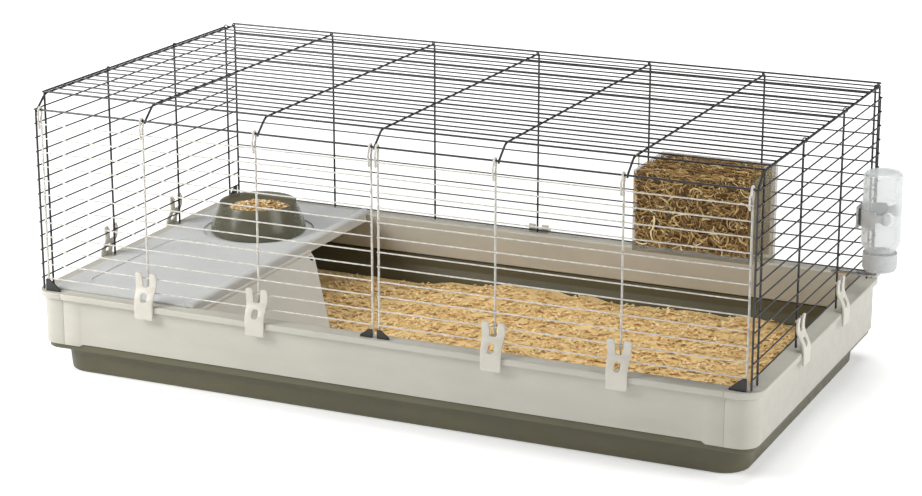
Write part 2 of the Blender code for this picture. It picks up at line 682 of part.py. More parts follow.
def build_wire_top(finishes):
    black, white = finishes["black_wire"], finishes["white_wire"]
    add_piece("roof_panel", roof_panel(), black, smooth=False)
    add_piece("back_panel", back_panel(), black, smooth=False)
    add_piece("left_end_panel", end_panel(-1), black, smooth=False)
    add_piece("right_end_panel", end_panel(1), black, smooth=False)
    hinge_line = (0, -WALL_Y, HINGE_Z)
    add_piece("left_door", door(-1), white, hinge_line, smooth=False)
    add_piece("right_door", door(1), white, hinge_line, smooth=False)
    corners = finishes["corner"]
    outer, front = WALL_X - DOOR_END_GAP + HALF_WIRE, (0, -1, 0)
    for label, side in (("left", -1), ("right", 1)):
        foot = (side * outer, -WALL_Y, POST_FOOT)
        add_piece(f"{label}_door_outer_gusset",
                  gusset(*DOOR_GUSSET, foot, (-side, 0, 0), front), corners)
        foot = (side * (DOOR_MID_GAP - HALF_WIRE), -WALL_Y, POST_FOOT)
        add_piece(f"{label}_door_inner_gusset",
                  gusset(*MID_GUSSET, foot, (side, 0, 0), front), corners)
        foot = (side * WALL_X, WALL_Y + HALF_WIRE, POST_FOOT)
        add_piece(f"back_{label}_gusset",
                  gusset(*DOOR_GUSSET, foot, (0, -1, 0), (side, 0, 0)), corners)
    shape = clip()
    for name, place, turn in clip_places():
        add_piece(name, shape, finishes["clip"], place, turn)
    add_piece("clip_back", rear_clip(), finishes["clip"], (0, WALL_Y, RIM_Z + BACK_FIRST_ROW), pi)


# ---------------------------------------------------------------- shelf and ramp
def shelf():
    """Shelf that lies on the rim at three sides, with a rolled free edge and two recesses."""
    inner = RIM_WIDTH + SHELF_SIDE_GAP
    seat = RIM_WIDTH - SHELF_SEAT
    top = RIM_Z + SEAT_GAP + SHELF_FLANGE
    start = SHELF_EDGE - SHELF_LIP_WIDTH

    def slab(inset, low, high):
        left, right = -HALF_LENGTH + inset, SHELF_EDGE - SKIRT_WALL
        half_y = HALF_DEPTH - inset
        centre = ((left + right) / 2, 0)
        outline = rounded_outline((right - left) / 2, half_y, SHELF_CORNER, centre, 3)
        return prism(outline, low, high, along_z)

    def rolled(half_y):
        crest = top + SHELF_LIP_RISE
        low = top - SHELF_FLANGE + TRIM
        outline = [(start, low), (start, top - SHELF_FLANGE / 3)]
        reach, steps = SHELF_LIP_WIDTH / 2, 6
        for step in range(steps + 1):
            angle = pi * (1 - step / steps)
            outline.append((SHELF_EDGE - reach + reach * cos(angle),
                            top + (crest - top) * sin(angle)))
        outline.append((SHELF_EDGE, low))
        return prism(outline, -half_y, half_y, along_y)

    body = boolean(slab(inner, top - SHELF_BODY, top - TRIM), slab(seat, top - SHELF_FLANGE, top),
                   "UNION")
    body = boolean(body, rolled(HALF_DEPTH - seat - 3 * TRIM), "UNION")
    reach = HALF_DEPTH - inner - 3 * TRIM
    drop = box((start + TRIM, -reach, top - SHELF_LIP_DROP),
               (SHELF_EDGE - TRIM, reach, top - 2 * TRIM))
    body = boolean(body, drop, "UNION")
    radius, depth = BOWL_RECESS
    ring = ring_outline(radius, 40, BOWL_PLACE)
    body = boolean(body, prism(ring, top - depth, top + CUT, along_z), "DIFFERENCE")
    width, length, depth = PAN_RECESS
    pan = rounded_outline(width / 2, length / 2, PAN_RADIUS, PAN_PLACE, 4)
    return boolean(body, prism(pan, top - depth, top + CUT, along_z), "DIFFERENCE")


def ramp_place(y_shift=0.0):
    """Ramp's axis: just outside the shelf's turned-down edge."""
    return Vector((SHELF_EDGE + RUN_GAP + RAMP_BEAD, y_shift, RIM_Z - RAMP_AXIS_DROP))


def ramp_edges():
    front = -(HALF_DEPTH - max(RIM_WIDTH, PLINTH_SETBACK + TRAY_WALL) - RAMP_SIDE_GAP)
    return front, front + RAMP_TOP_WIDTH


def down_slope(distance, lift):
    """Offset from the ramp's axis: distance down the slope and lift off its middle plane."""
    return Vector((cos(RAMP_ANGLE) * distance + sin(RAMP_ANGLE) * lift, 0,
                   -sin(RAMP_ANGLE) * distance + cos(RAMP_ANGLE) * lift))


def ramp():
    """Tapered panel with a round bead along its upper edge and a hole at each peg."""
    front, back = ramp_edges()
    bead = prism(ring_outline(RAMP_BEAD, 12), front, back, along_y)
    shoulder = 2 * TRIM
    outline = [(0.0, front + shoulder), (RAMP_LENGTH, front + shoulder),
               (RAMP_LENGTH, back - RAMP_SLANT), (RAMP_CORNER[1], back - RAMP_CORNER[2]),
               (RAMP_CORNER[0], back - shoulder), (0.0, back - shoulder)]

    def place(a, b, depth):
        return down_slope(a, depth) + Vector((0, b, 0))

    plate = prism(outline, -RAMP_THICKNESS / 2, RAMP_THICKNESS / 2, place)
    body = boolean(plate, bead, "UNION")
    hole = PEG_RADIUS + SEAT_GAP
    for y in peg_rows():
        rim = ring_outline(hole, PEG_SIDES, (PEG_DOWN, y))
        body = boolean(body, prism(rim, -CUT, CUT, place), "DIFFERENCE")
    return body


def peg_rows():
    front, back = ramp_edges()
    return front + PEG_INSET, back - PEG_INSET


def peg():
    """Double-headed peg that holds the ramp's upper edge."""
    half = RAMP_THICKNESS / 2 + SEAT_GAP
    head, height = PEG_HEAD
    profile = [(0, -half - height), (head, -half - height), (head, -half), (PEG_RADIUS, -half),
               (PEG_RADIUS, half), (head, half), (head * 0.7, half + height), (0, half + height)]
    shape = turned(profile, PEG_SIDES)
    return moved(shape, Matrix.Rotation(RAMP_ANGLE, 4, "Y"))


def build_shelf(finishes):
    add_piece("shelf", shelf(), finishes["shelf"])
    add_piece("ramp", ramp(), finishes["ramp"], ramp_place())
    for label, y in zip(("front", "back"), peg_rows()):
        place = ramp_place(y) + down_slope(PEG_DOWN, 0)
        add_piece(f"ramp_peg_{label}", peg(), finishes["corner"], place)


# ---------------------------------------------------------------- bowl
def bowl():
    """Wide-footed bowl that tapers to its rim."""
    inner_rim = BOWL_RIM - BOWL_WALL
    inner_floor = inner_rim - BOWL_TAPER
    soft = BOWL_WALL / 2
    return turned([
        (0, 0), (BOWL_BASE - soft, 0), (BOWL_BASE, soft), (BOWL_BASE - soft, BOWL_FOOT),
        (BOWL_RIM + 2 * soft, BOWL_HEIGHT * 0.8), (BOWL_RIM, BOWL_HEIGHT - soft),
        (BOWL_RIM - soft, BOWL_HEIGHT), (inner_rim, BOWL_HEIGHT),
        (inner_rim - BOWL_TAPER / 3, BOWL_HEIGHT / 2), (inner_floor, BOWL_FLOOR + 2 * soft),
        (inner_floor - 2 * soft, BOWL_FLOOR), (0, BOWL_FLOOR)], 32)


def food():
    """Heap of pellets that fills the lower half of the bowl."""
    edge = BOWL_RIM - BOWL_WALL - FOOD_GAP
    return turned([(0, 0), (edge * 0.96, 0), (edge, FOOD_DEPTH * 0.23), (edge, FOOD_DEPTH * 0.72),
                   (edge * 0.6, FOOD_DEPTH * 0.93), (0, FOOD_DEPTH)], 24)


def build_bowl(finishes):
    floor = RIM_Z + SEAT_GAP + SHELF_FLANGE - BOWL_RECESS[1] + SEAT_GAP
    add_piece("bowl", bowl(), finishes["bowl"], (*BOWL_PLACE, floor))
    place = (*BOWL_PLACE, floor + BOWL_FLOOR + SEAT_GAP)
    add_piece("food", food(), finishes["food"], place)


# ---------------------------------------------------------------- hay rack
def rack_outline(inset, top, front):
    """Side view of the rack as (y, z): sloping floor, upright back."""
    slope = (RACK_BACK_HEIGHT - RACK_FRONT_HEIGHT) / RACK_DEPTH

    def floor(y):
        return RACK_TOP - RACK_FRONT_HEIGHT - slope * (y - RACK_FRONT) + inset * hypot(1, slope)

    ends = (front, RACK_FRONT + RACK_DEPTH - inset)
    return [(ends[0], floor(ends[0])), (ends[1], floor(ends[1])),
            (ends[1], top), (ends[0], top)]


def hay_rack():
    """Bin that is open at the front and top, with a hook on each side wall."""
    shell = prism(rack_outline(0, RACK_TOP, RACK_FRONT), *RACK_X, along_x)
    hollow = prism(rack_outline(RACK_WALL, RACK_TOP + CUT, RACK_FRONT - CUT),
                   RACK_X[0] + RACK_WALL, RACK_X[1] - RACK_WALL, along_x)
    body = boolean(shell, hollow, "DIFFERENCE")
    wire_y = -WALL_Y + CHAMFER
    near = wire_y + HALF_WIRE + RUN_GAP
    far = wire_y - hypot(HALF_WIRE, HALF_WIRE) - RUN_GAP
    over = ROOF_Z + HALF_WIRE + RUN_GAP
    bar, root = RACK_HOOK
    outline = [(near, RACK_TOP - root), (near + bar, RACK_TOP - root), (near + bar, over + bar),
               (far - bar, over + bar), (far - bar, ROOF_Z), (far, ROOF_Z), (far, over),
               (near, over)]
    spans = ((RACK_X[0] + TRIM, RACK_X[0] + RACK_WALL - TRIM),
             (RACK_X[1] - RACK_WALL + TRIM, RACK_X[1] - TRIM))
    hooks = merged([prism(outline, low, high, along_x) for low, high in spans])
    return boolean(body, hooks, "UNION")


def hay():
    """Block of hay that fills the rack and stands a little out of its front."""
    inset = RACK_WALL + RUN_GAP
    outline = rack_outline(inset, RACK_TOP - HAY_TOP_DROP, RACK_FRONT - HAY_FRONT_STAND)
    return prism(outline, RACK_X[0] + inset, RACK_X[1] - inset, along_x)


def build_rack(finishes):
    add_piece("hay_rack", hay_rack(), finishes["rack"])
    add_piece("hay", hay(), finishes["hay"])


# ---------------------------------------------------------------- water bottle
def bottle_bracket():
    """Plate on the end wall with a half ring that the bottle snaps into."""
    low, high = (RIM_Z + level for level in BRACKET_RANGE)
    plate_x = WALL_X + HALF_WIRE + RUN_GAP
    plate = box((plate_x, BOTTLE_Y - BRACKET_WIDTH / 2, low),
                (plate_x + 0.0025, BOTTLE_Y + BRACKET_WIDTH / 2, high))
    bore = BOTTLE_RADIUS + RUN_GAP
    outer = BOTTLE_X - plate_x - 0.0002
    steps = 14
    angles = [radians(92 + 176 * n / steps) for n in range(steps + 1)]
    outline = [(BOTTLE_X + outer * cos(a), BOTTLE_Y + (bore + BRACKET_WALL) * sin(a))
               for a in angles]
    outline += [(BOTTLE_X + bore * cos(a), BOTTLE_Y + bore * sin(a)) for a in reversed(angles)]
    ring = prism(outline, low + 0.004, high - 0.004, along_z)
    return boolean(plate, ring, "UNION")


def bottle():
    """Clear bottle, open at its neck, which points down into the cap."""
    wall, radius, length = BOTTLE_WALL, BOTTLE_RADIUS, BOTTLE_LENGTH
    shoulder = 0.010
    dome = 0.012
    outer = [(0, length), (radius - dome, length), (radius - dome / 3, length - dome / 3),
             (radius, length - dome), (radius, shoulder), (BOTTLE_NECK, 0)]
    inner = [(BOTTLE_NECK - wall, 0), (radius - wall, shoulder), (radius - wall, length - dome),
             (radius - wall - dome / 3, length - wall - dome / 3),
             (radius - dome - wall / 2, length - wall), (0, length - wall)]
    return turned(outer + inner, 28)


def cap():
    """Screw cap with a softened lower edge."""
    radius, height = CAP_RADIUS, CAP_HEIGHT
    return turned([(0, 0), (radius - 0.004, 0), (radius - 0.001, 0.002), (radius, 0.006),
                   (radius, height - 0.001), (radius - 0.001, height), (0, height)], 28)


def sipper_tube():
    """Metal tube: down out of the cap, round a bend and straight in through the end wall."""
    start_z = RIM_Z + BOTTLE_FOOT - SEAT_GAP - CAP_HEIGHT - SEAT_GAP
    run_z = RIM_Z + TUBE_HEIGHT
    bend = start_z - TUBE_STUB - run_z
    path = [(BOTTLE_X, BOTTLE_Y, start_z)]
    for step in range(7):
        angle = pi / 2 * step / 6
        path.append((BOTTLE_X - bend * (1 - cos(angle)), BOTTLE_Y,
                     run_z + bend * (1 - sin(angle))))
    tip = WALL_X - TUBE_REACH
    path.append((tip, BOTTLE_Y, run_z))
    tube = swept(path, TUBE_RADIUS, 12)
    bore, depth = TIP_BORE
    ring = [(BOTTLE_Y + bore * cos(2 * pi * k / 14), run_z + bore * sin(2 * pi * k / 14))
            for k in range(14)]
    return boolean(tube, prism(ring, tip - 0.01, tip + depth, along_x), "DIFFERENCE")


def sipper_ball():
    return turned([(0, -BALL_RADIUS)] + [(BALL_RADIUS * cos(radians(a)), BALL_RADIUS * sin(radians(a)))
                                         for a in (-60, -30, 0, 30, 60)] + [(0, BALL_RADIUS)], 12)


def build_bottle(finishes):
    neck_z = RIM_Z + BOTTLE_FOOT
    add_piece("bottle_bracket", bottle_bracket(), finishes["bracket"])
    add_piece("bottle", bottle(), finishes["bottle"], (BOTTLE_X, BOTTLE_Y, neck_z))
    cap_z = neck_z - SEAT_GAP - CAP_HEIGHT
    add_piece("bottle_cap", cap(), finishes["bracket"], (BOTTLE_X, BOTTLE_Y, cap_z))
    add_piece("sipper_tube", sipper_tube(), finishes["steel"])
    ball_x = WALL_X - TUBE_REACH + BALL_RADIUS - BALL_SHOWS
    add_piece("sipper_ball", sipper_ball(), finishes["steel"],
              (ball_x, BOTTLE_Y, RIM_Z + TUBE_HEIGHT))


# ---------------------------------------------------------------- whole hutch
def build_hutch():
    clear_scene()
    finishes = {
        "tray": material("tray", (0.15, 0.14, 0.10), 0.55),
        "skirt": material("skirt", (0.66, 0.63, 0.55), 0.45),
        "bedding": material("bedding", (0.72, 0.52, 0.28), 0.9),
        "black_wire": material("black_wire", (0.03, 0.03, 0.035), 0.4),
        "white_wire": material("white_wire", (0.78, 0.77, 0.72), 0.4),
        "corner": material("corner", (0.02, 0.02, 0.02), 0.5),
        "clip": material("clip", (0.70, 0.68, 0.60), 0.45),
        "shelf": material("shelf", (0.58, 0.58, 0.57), 0.4),
        "ramp": material("ramp", (0.55, 0.52, 0.48), 0.5),
        "bowl": material("bowl", (0.10, 0.11, 0.07), 0.25, alpha=0.8),
        "food": material("food", (0.65, 0.45, 0.15), 0.8),
        "rack": material("rack", (0.25, 0.23, 0.12), 0.25, alpha=0.6),
        "hay": material("hay", (0.32, 0.20, 0.07), 0.9),
        "bracket": material("bracket", (0.68, 0.70, 0.70), 0.4),
        "bottle": material("bottle", (0.85, 0.88, 0.88), 0.1, alpha=0.35),
        "steel": material("steel", (0.6, 0.6, 0.6), 0.3, metallic=1.0),
    }
    build_base(finishes)
    build_wire_top(finishes)
    build_shelf(finishes)
    build_bowl(finishes)
    build_rack(finishes)
    build_bottle(finishes)


build_hutch()
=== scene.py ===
"""Looks of the rabbit hutch: round wires, moulded plastics, shavings, hay and the studio around them."""
import json
import random
from math import cos, pi, radians, sin

import bmesh
import bpy
from mathutils import Matrix, Vector, noise


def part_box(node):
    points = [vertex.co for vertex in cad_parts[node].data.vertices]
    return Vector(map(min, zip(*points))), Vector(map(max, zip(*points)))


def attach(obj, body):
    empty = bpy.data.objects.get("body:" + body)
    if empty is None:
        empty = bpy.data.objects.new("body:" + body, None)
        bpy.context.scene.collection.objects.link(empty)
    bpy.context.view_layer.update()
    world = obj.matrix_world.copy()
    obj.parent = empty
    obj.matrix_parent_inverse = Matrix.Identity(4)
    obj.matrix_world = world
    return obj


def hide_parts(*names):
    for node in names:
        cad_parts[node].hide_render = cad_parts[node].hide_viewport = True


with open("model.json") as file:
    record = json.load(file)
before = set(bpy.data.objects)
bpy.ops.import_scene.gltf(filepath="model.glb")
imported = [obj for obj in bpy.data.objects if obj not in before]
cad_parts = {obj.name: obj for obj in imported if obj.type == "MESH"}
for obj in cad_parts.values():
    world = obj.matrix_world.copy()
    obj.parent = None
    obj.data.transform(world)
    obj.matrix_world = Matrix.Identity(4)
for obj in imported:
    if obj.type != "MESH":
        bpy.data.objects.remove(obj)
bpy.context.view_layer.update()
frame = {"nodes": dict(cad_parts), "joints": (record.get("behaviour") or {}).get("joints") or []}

# ---------------------------------------- places read from the frame
JOINTS = {joint["name"]: joint for joint in frame["joints"]}
SKIRT_LOW, SKIRT_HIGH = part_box("skirt_front")
END_LOW, END_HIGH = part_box("skirt_right_end")
TRAY_LOW, TRAY_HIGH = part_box("base_tray")
BED_LOW, BED_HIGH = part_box("bedding")
WALL_LOW, WALL_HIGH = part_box("right_end_panel")
RAMP_LOW, RAMP_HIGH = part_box("ramp")
BOWL_LOW, BOWL_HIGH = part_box("bowl")
FOOD_LOW, FOOD_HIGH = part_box("food")
HAY_LOW, HAY_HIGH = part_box("hay")
BOTTLE_LOW, BOTTLE_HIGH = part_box("bottle")
CAP_LOW, CAP_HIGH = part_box("bottle_cap")
BRACKET_LOW, BRACKET_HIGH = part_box("bottle_bracket")
BACK_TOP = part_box("back_panel")[1].z
SHELF_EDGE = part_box("shelf")[1].x

HALF_LENGTH, HALF_DEPTH = END_HIGH.x, -SKIRT_LOW.y
RIM_Z = SKIRT_HIGH.z
SKIRT_BOTTOM = SKIRT_LOW.z
WALL_X = (WALL_LOW.x + WALL_HIGH.x) / 2
HINGE = Vector(JOINTS["left_door_swing"]["pos_m"])
WALL_Y, HINGE_Z = -HINGE.y, HINGE.z
CLIP_Z = JOINTS["clip_front_1_swing"]["pos_m"][2]
BACK_ROW = JOINTS["clip_back_swing"]["pos_m"][2]
ROWS = 13
PITCH = (HINGE_Z - CLIP_Z) / (ROWS - 2)
FIRST_ROW = CLIP_Z - PITCH
ROOF_Z = HINGE_Z + PITCH
BAYS = 6
BAY = 2 * WALL_X / BAYS
WIRE_CUT = 0.001                      # how far a post's end stops short of its panel's edge
POST_FOOT = WALL_LOW.z + WIRE_CUT

# ---------------------------------------- sizes of the wire top
ROW_R, POST_R = 0.00120, 0.00175      # radii of row wires and posts
DOOR_ROW_R = 0.00110
EDGE_R = POST_R * 0.9                 # wires along the roof's edges
ROW_OUT, POST_IN = 0.0003, 0.0022     # rows lie outside the wall's plane, posts inside it
ROW_OVERHANG = 0.0015                 # how far an end wall's rows run past its posts
CHAMFER = 0.0257                      # slanted edge between the roof and the doors
ROOF_SPACES = 23
PAIR_OFFSET = 0.0025                  # posts of the doors stand beside those of the roof
EDGE_POST = 0.0034
REAR_POST_INSET = 0.0332
DOOR_END_GAP, DOOR_MID_GAP = 0.010, 0.0055
HAIRPIN = 0.031                       # length of a door post's folded end
HAIRPIN_SHIFT = 0.0034                # how far the folded end lies beside its post
BACK_EYE, END_EYE = (0.0036, 0.0011), (0.0034, 0.0010)     # radius of an eye and of its wire
CLIP_TOP, CLIP_FOOT, CLIP_HALF = 0.0095, 0.0635, 0.0188
CLIP_NEAR, CLIP_FAR = 0.0037, 0.0145  # distance from the wall at a clip's top and at its foot
PLASTIC_SHEET, SHEET_EDGE = 0.0030, 0.0007                 # a clip's thickness and edge radius

# ---------------------------------------- sizes of the base
RIM_RADIUS = 0.035
RIM_WIDTH = 0.0285
RIM_HEIGHT = 0.0095
SKIRT_SETBACK = 0.008
SKIRT_WALL = 0.0025
SKIRT_INNER_DROP = 0.060
CORNER_BAND = 0.030                   # length of the thicker band beside a seam
BAND_PROUD, BAND_DROP = 0.0012, 0.0038
BAND_BLEND = 0.004                    # half the length over which the band rises
BAND_STATION = 0.003
EASE_LENGTH, EASE_DEPTH = 0.0006, 0.0004                   # softened edge at a seam
LIP_TOP, LIP_HEIGHT, LIP_SETBACK = 0.0538, 0.0118, 0.0108
PLINTH_SETBACK, PLINTH_RADIUS = 0.0268, 0.045
TRAY_WALL, TRAY_FLOOR, TRAY_DRAFT = 0.0025, 0.004, 0.004
UPSTAND_SETBACK = 0.0225
BED_SHALLOW, BED_DEEP = 0.0222, 0.0367                     # depth near the shelf and beyond it
RISE_START, RISE_END = 0.1045, 0.2095                      # the rise's distance from the shelf
BED_GAP = 0.0005                      # between the shavings and the tray
BED_MARGIN = 0.012                    # no loose curl lies nearer the tray's wall

# ---------------------------------------- sizes of the feeders
BOWL_RIM, BOWL_WALL, BOWL_FLOOR = 0.066, 0.0025, 0.006
FEED_CROWN_DROP, FEED_FALL, FEED_RADIUS = 0.005, 0.010, 0.0590
FEED_COVER = 0.001                    # the loose feed lies this far above its heap
HAY_FLOOR_SLOPE = 0.2457
HAY_LIFT = 0.009                      # clear strip between the hay and the rack's floor
HAY_INSET = 0.004
BOTTLE_RADIUS, BOTTLE_WALL, NECK_RADIUS = 0.031, 0.0015, 0.022

# ---------------------------------------- mesh helpers
MERGE = 1e-6                          # points nearer than this are one point


def shaded(work, mesh, smooth_angle):
    """Writes a bmesh into a mesh that is shaded smooth up to an angle in degrees."""
    work.to_mesh(mesh)
    work.free()
    mesh.shade_smooth()
    mesh.set_sharp_from_angle(angle=radians(smooth_angle))
    return mesh


def mesh_from(verts, faces, smooth_angle=35):
    mesh = bpy.data.meshes.new("piece")
    mesh.from_pydata([tuple(v) for v in verts], [], faces)
    work = bmesh.new()
    work.from_mesh(mesh)
    bmesh.ops.recalc_face_normals(work, faces=work.faces)
    return shaded(work, mesh, smooth_angle)


def store_tones(mesh, tones):
    """Keeps one tone per vertex, from which plant matter takes its colour."""
    layer = mesh.color_attributes.new("tone", "FLOAT_COLOR", "POINT")
    layer.data.foreach_set("color", [value for tone in tones for value in (tone, tone, tone, 1.0)])
    return mesh


def clamp(value, low, high):
    return min(max(value, low), high)


def smoothstep(low, high, value):
    t = clamp((value - low) / (high - low), 0.0, 1.0)
    return t * t * (3 - 2 * t)


def circle(sides):
    """Cosine and sine at each corner of a regular polygon."""
    return [(cos(2 * pi * k / sides), sin(2 * pi * k / sides)) for k in range(sides)]


def add_piece(name, mesh, finish, body, replaces=()):
    piece = bpy.data.objects.new(name, mesh)
    bpy.context.scene.collection.objects.link(piece)
    mesh.materials.clear()
    mesh.materials.append(finish)
    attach(piece, body)
    if replaces:
        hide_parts(*replaces)
    return piece


class Solids:
    """Collects closed tubes, lofts and flakes into one mesh, with a tone for each solid."""

    def __init__(self):
        self.verts, self.faces, self.tones = [], [], []

    def add(self, verts, faces, tone=0.5):
        start = len(self.verts)
        self.verts += [tuple(v) for v in verts]
        self.faces += [tuple(start + i for i in face) for face in faces]
        self.tones += [tone] * len(verts)

    def loft(self, rings, tone=0.5):
        count = len(rings[0])
        verts = [v for ring in rings for v in ring]
        faces = [tuple(range(count)), tuple(range(len(verts) - count, len(verts)))]
        for level in range(len(rings) - 1):
            for i in range(count):
                j, low = (i + 1) % count, level * count
                faces.append((low + i, low + j, low + count + j, low + count + i))
        self.add(verts, faces, tone)

    def ring(self, rings, tone=0.5):
        """Like loft, but the last ring joins the first."""
        count, turns = len(rings[0]), len(rings)
        verts = [v for ring in rings for v in ring]
        faces = []
        for level in range(turns):
            low, high = level * count, (level + 1) % turns * count
            for i in range(count):
                j = (i + 1) % count
                faces.append((low + i, low + j, high + j, high + i))
        self.add(verts, faces, tone)

    def tube(self, path, radius, sides=8, tone=0.5, taper=0.55):
        """Round bar along a path, whose ends narrow to taper over half a radius."""
        path = [Vector(p) for p in path]
        first, last = (path[1] - path[0]).normalized(), (path[-1] - path[-2]).normalized()
        stations = [(path[0], radius * taper), (path[0] + first * radius * 0.5, radius)]
        stations += [(p, radius) for p in path[1:-1]]
        stations += [(path[-1] - last * radius * 0.5, radius), (path[-1], radius * taper)]
        side = first.orthogonal().normalized()
        rings = []
        for i, (point, size) in enumerate(stations):
            ahead = stations[min(i + 1, len(stations) - 1)][0]
            behind = stations[max(i - 1, 0)][0]
            run = (ahead - behind).normalized()
            side = (side - run * side.dot(run)).normalized()
            up = run.cross(side)
            rings.append([point + size * (side * c + up * s) for c, s in circle(sides)])
        self.loft(rings, tone)

    def mesh(self, smooth_angle=35):
        return store_tones(mesh_from(self.verts, self.faces, smooth_angle), self.tones)


def corner(before, point, after, reach, steps):
    """One corner rounded by a parabola that takes at most half of each side."""
    start, end = (point + side.normalized() * min(reach, side.length * 0.49)
                  for side in (before - point, after - point))
    return [start * (1 - t) ** 2 + point * 2 * t * (1 - t) + end * t ** 2
            for t in (step / steps for step in range(steps + 1))]


def softened(points, reaches, steps=3):
    """A path whose corners are rounded; reaches has one for each corner, 0 for a sharp one."""
    points = [Vector(p) for p in points]
    result = []
    for i, (point, reach) in enumerate(zip(points, reaches)):
        if reach == 0 or i in (0, len(points) - 1):
            result.append(point)
        else:
            result += corner(points[i - 1], point, points[i + 1], reach, steps)
    return result


def softened_loop(points, reach, steps=3):
    """A closed outline with rounded corners; reach is one number, or a list with each corner's."""
    points = [Vector(p) for p in points]
    reaches = reach if isinstance(reach, list) else [reach] * len(points)
    result = []
    for i, (point, amount) in enumerate(zip(points, reaches)):
        result += corner(points[i - 1], point, points[(i + 1) % len(points)], amount, steps)
    return result


def plate(outlines, thickness, bevel, cuts=()):
    """A flat plate in the XY plane with round edges, cut across at some heights so it can bend."""
    curve = bpy.data.curves.new("outline", "CURVE")
    curve.dimensions, curve.fill_mode = "2D", "BOTH"
    curve.extrude, curve.bevel_depth, curve.bevel_resolution = thickness / 2 - bevel, bevel, 1
    curve.offset = -bevel
    for outline in outlines:
        spline = curve.splines.new("POLY")
        spline.points.add(len(outline) - 1)
        for point, place in zip(spline.points, outline):
            point.co = (place[0], place[1], 0, 1)
        spline.use_cyclic_u = True
    item = bpy.data.objects.new("outline", curve)
    bpy.context.scene.collection.objects.link(item)
    view = bpy.context.evaluated_depsgraph_get()
    mesh = bpy.data.meshes.new_from_object(item.evaluated_get(view))
    bpy.data.objects.remove(item, do_unlink=True)
    work = bmesh.new()
    work.from_mesh(mesh)
    bmesh.ops.remove_doubles(work, verts=work.verts, dist=MERGE)
    for y in cuts:
        bmesh.ops.bisect_plane(work, geom=work.verts[:] + work.edges[:] + work.faces[:],
                               plane_co=(0, y, 0), plane_no=(0, 1, 0))
    bmesh.ops.recalc_face_normals(work, faces=work.faces)
    return shaded(work, mesh, 40)


def turned(profile, segments, centre=(0, 0, 0)):
    """A solid turned about Z from a profile that starts and ends on the axis."""
    verts, faces, rings = [], [], []
    for radius, height in profile:
        if radius < MERGE:
            rings.append([len(verts)])
            verts.append(Vector((0, 0, height)) + Vector(centre))
            continue
        rings.append(list(range(len(verts), len(verts) + segments)))
        verts += [Vector((radius * c, radius * s, height)) + Vector(centre)
                  for c, s in circle(segments)]
    for below, above in zip(rings, rings[1:]):
        for i in range(segments):
            j = (i + 1) % segments
            if len(below) == 1:
                faces.append((below[0], above[i], above[j]))
            elif len(above) == 1:
                faces.append((below[i], below[j], above[0]))
            else:
                faces.append((below[i], below[j], above[j], above[i]))
    return mesh_from(verts, faces, 40)


def round_edges(node, width):
    """Softens a CAD node's edges for the render without touching its mesh."""
    item = frame["nodes"][node]
    weld = item.modifiers.new("weld", "WELD")
    weld.merge_threshold = 1e-5
    bevel = item.modifiers.new("round", "BEVEL")
    bevel.width, bevel.segments, bevel.limit_method = width, 2, "ANGLE"
    bevel.angle_limit = radians(32)
    bevel.harden_normals = True


# ---------------------------------------- finishes
FIBRE_SHARE = 0.35                    # how much fibres change the tone of plant matter


def new_finish(name):
    finish = bpy.data.materials.new(name)
    finish.use_nodes = True
    tree = finish.node_tree
    return finish, tree, tree.nodes["Principled BSDF"]


def noise_field(tree, scale, detail=3.0, roughness=0.5, stretch=None):
    coords = tree.nodes.new("ShaderNodeTexCoord").outputs["Object"]
    if stretch:
        mapping = tree.nodes.new("ShaderNodeMapping")
        mapping.inputs["Scale"].default_value = stretch
        tree.links.new(coords, mapping.inputs["Vector"])
        coords = mapping.outputs["Vector"]
    field = tree.nodes.new("ShaderNodeTexNoise")
    field.inputs["Scale"].default_value = scale
    field.inputs["Detail"].default_value = detail
    field.inputs["Roughness"].default_value = roughness
    tree.links.new(coords, field.inputs["Vector"])
    return field.outputs["Fac"]


def colour_by(tree, shader, source, stops):
    """Colours the surface by a field, with stops of (value, colour)."""
    node = tree.nodes.new("ShaderNodeValToRGB")
    elements = node.color_ramp.elements
    while len(elements) < len(stops):
        elements.new(0.5)
    for element, (place, colour) in zip(elements, stops):
        element.position = place
        element.color = (*colour, 1.0)
    tree.links.new(source, node.inputs["Fac"])
    tree.links.new(node.outputs["Color"], shader.inputs["Base Color"])


def gloss_by(tree, shader, source, low, high):
    """Varies the roughness from low to high by a noise field, which mostly lies in 0.3 to 0.7."""
    node = tree.nodes.new("ShaderNodeMapRange")
    for socket, value in (("From Min", 0.3), ("From Max", 0.7), ("To Min", low), ("To Max", high)):
        node.inputs[socket].default_value = value
    tree.links.new(source, node.inputs["Value"])
    tree.links.new(node.outputs["Result"], shader.inputs["Roughness"])


def bump(tree, shader, source, strength, distance):
    node = tree.nodes.new("ShaderNodeBump")
    node.inputs["Strength"].default_value = strength
    node.inputs["Distance"].default_value = distance
    tree.links.new(source, node.inputs["Height"])
    tree.links.new(node.outputs["Normal"], shader.inputs["Normal"])


def shade(colour, factor):
    return tuple(min(channel * factor, 1.0) for channel in colour)


def moulded(name, colour, roughness, grain=0.10, mottle=0.05, **sockets):
    """Moulded plastic: faint flow marks in the colour, fine grain and uneven gloss."""
    finish, tree, shader = new_finish(name)
    flow = noise_field(tree, 9, 4, 0.6, (1, 1, 2.5))
    colour_by(tree, shader, flow, [(0.3, shade(colour, 1 - mottle)), (0.52, colour),
                                   (0.72, shade(colour, 1 + mottle))])
    gloss_by(tree, shader, noise_field(tree, 60), roughness - 0.06, roughness + 0.08)
    bump(tree, shader, noise_field(tree, 1400, 2), grain, 0.0003)
    for socket, value in sockets.items():
        shader.inputs[socket.replace("_", " ")].default_value = value
    return finish


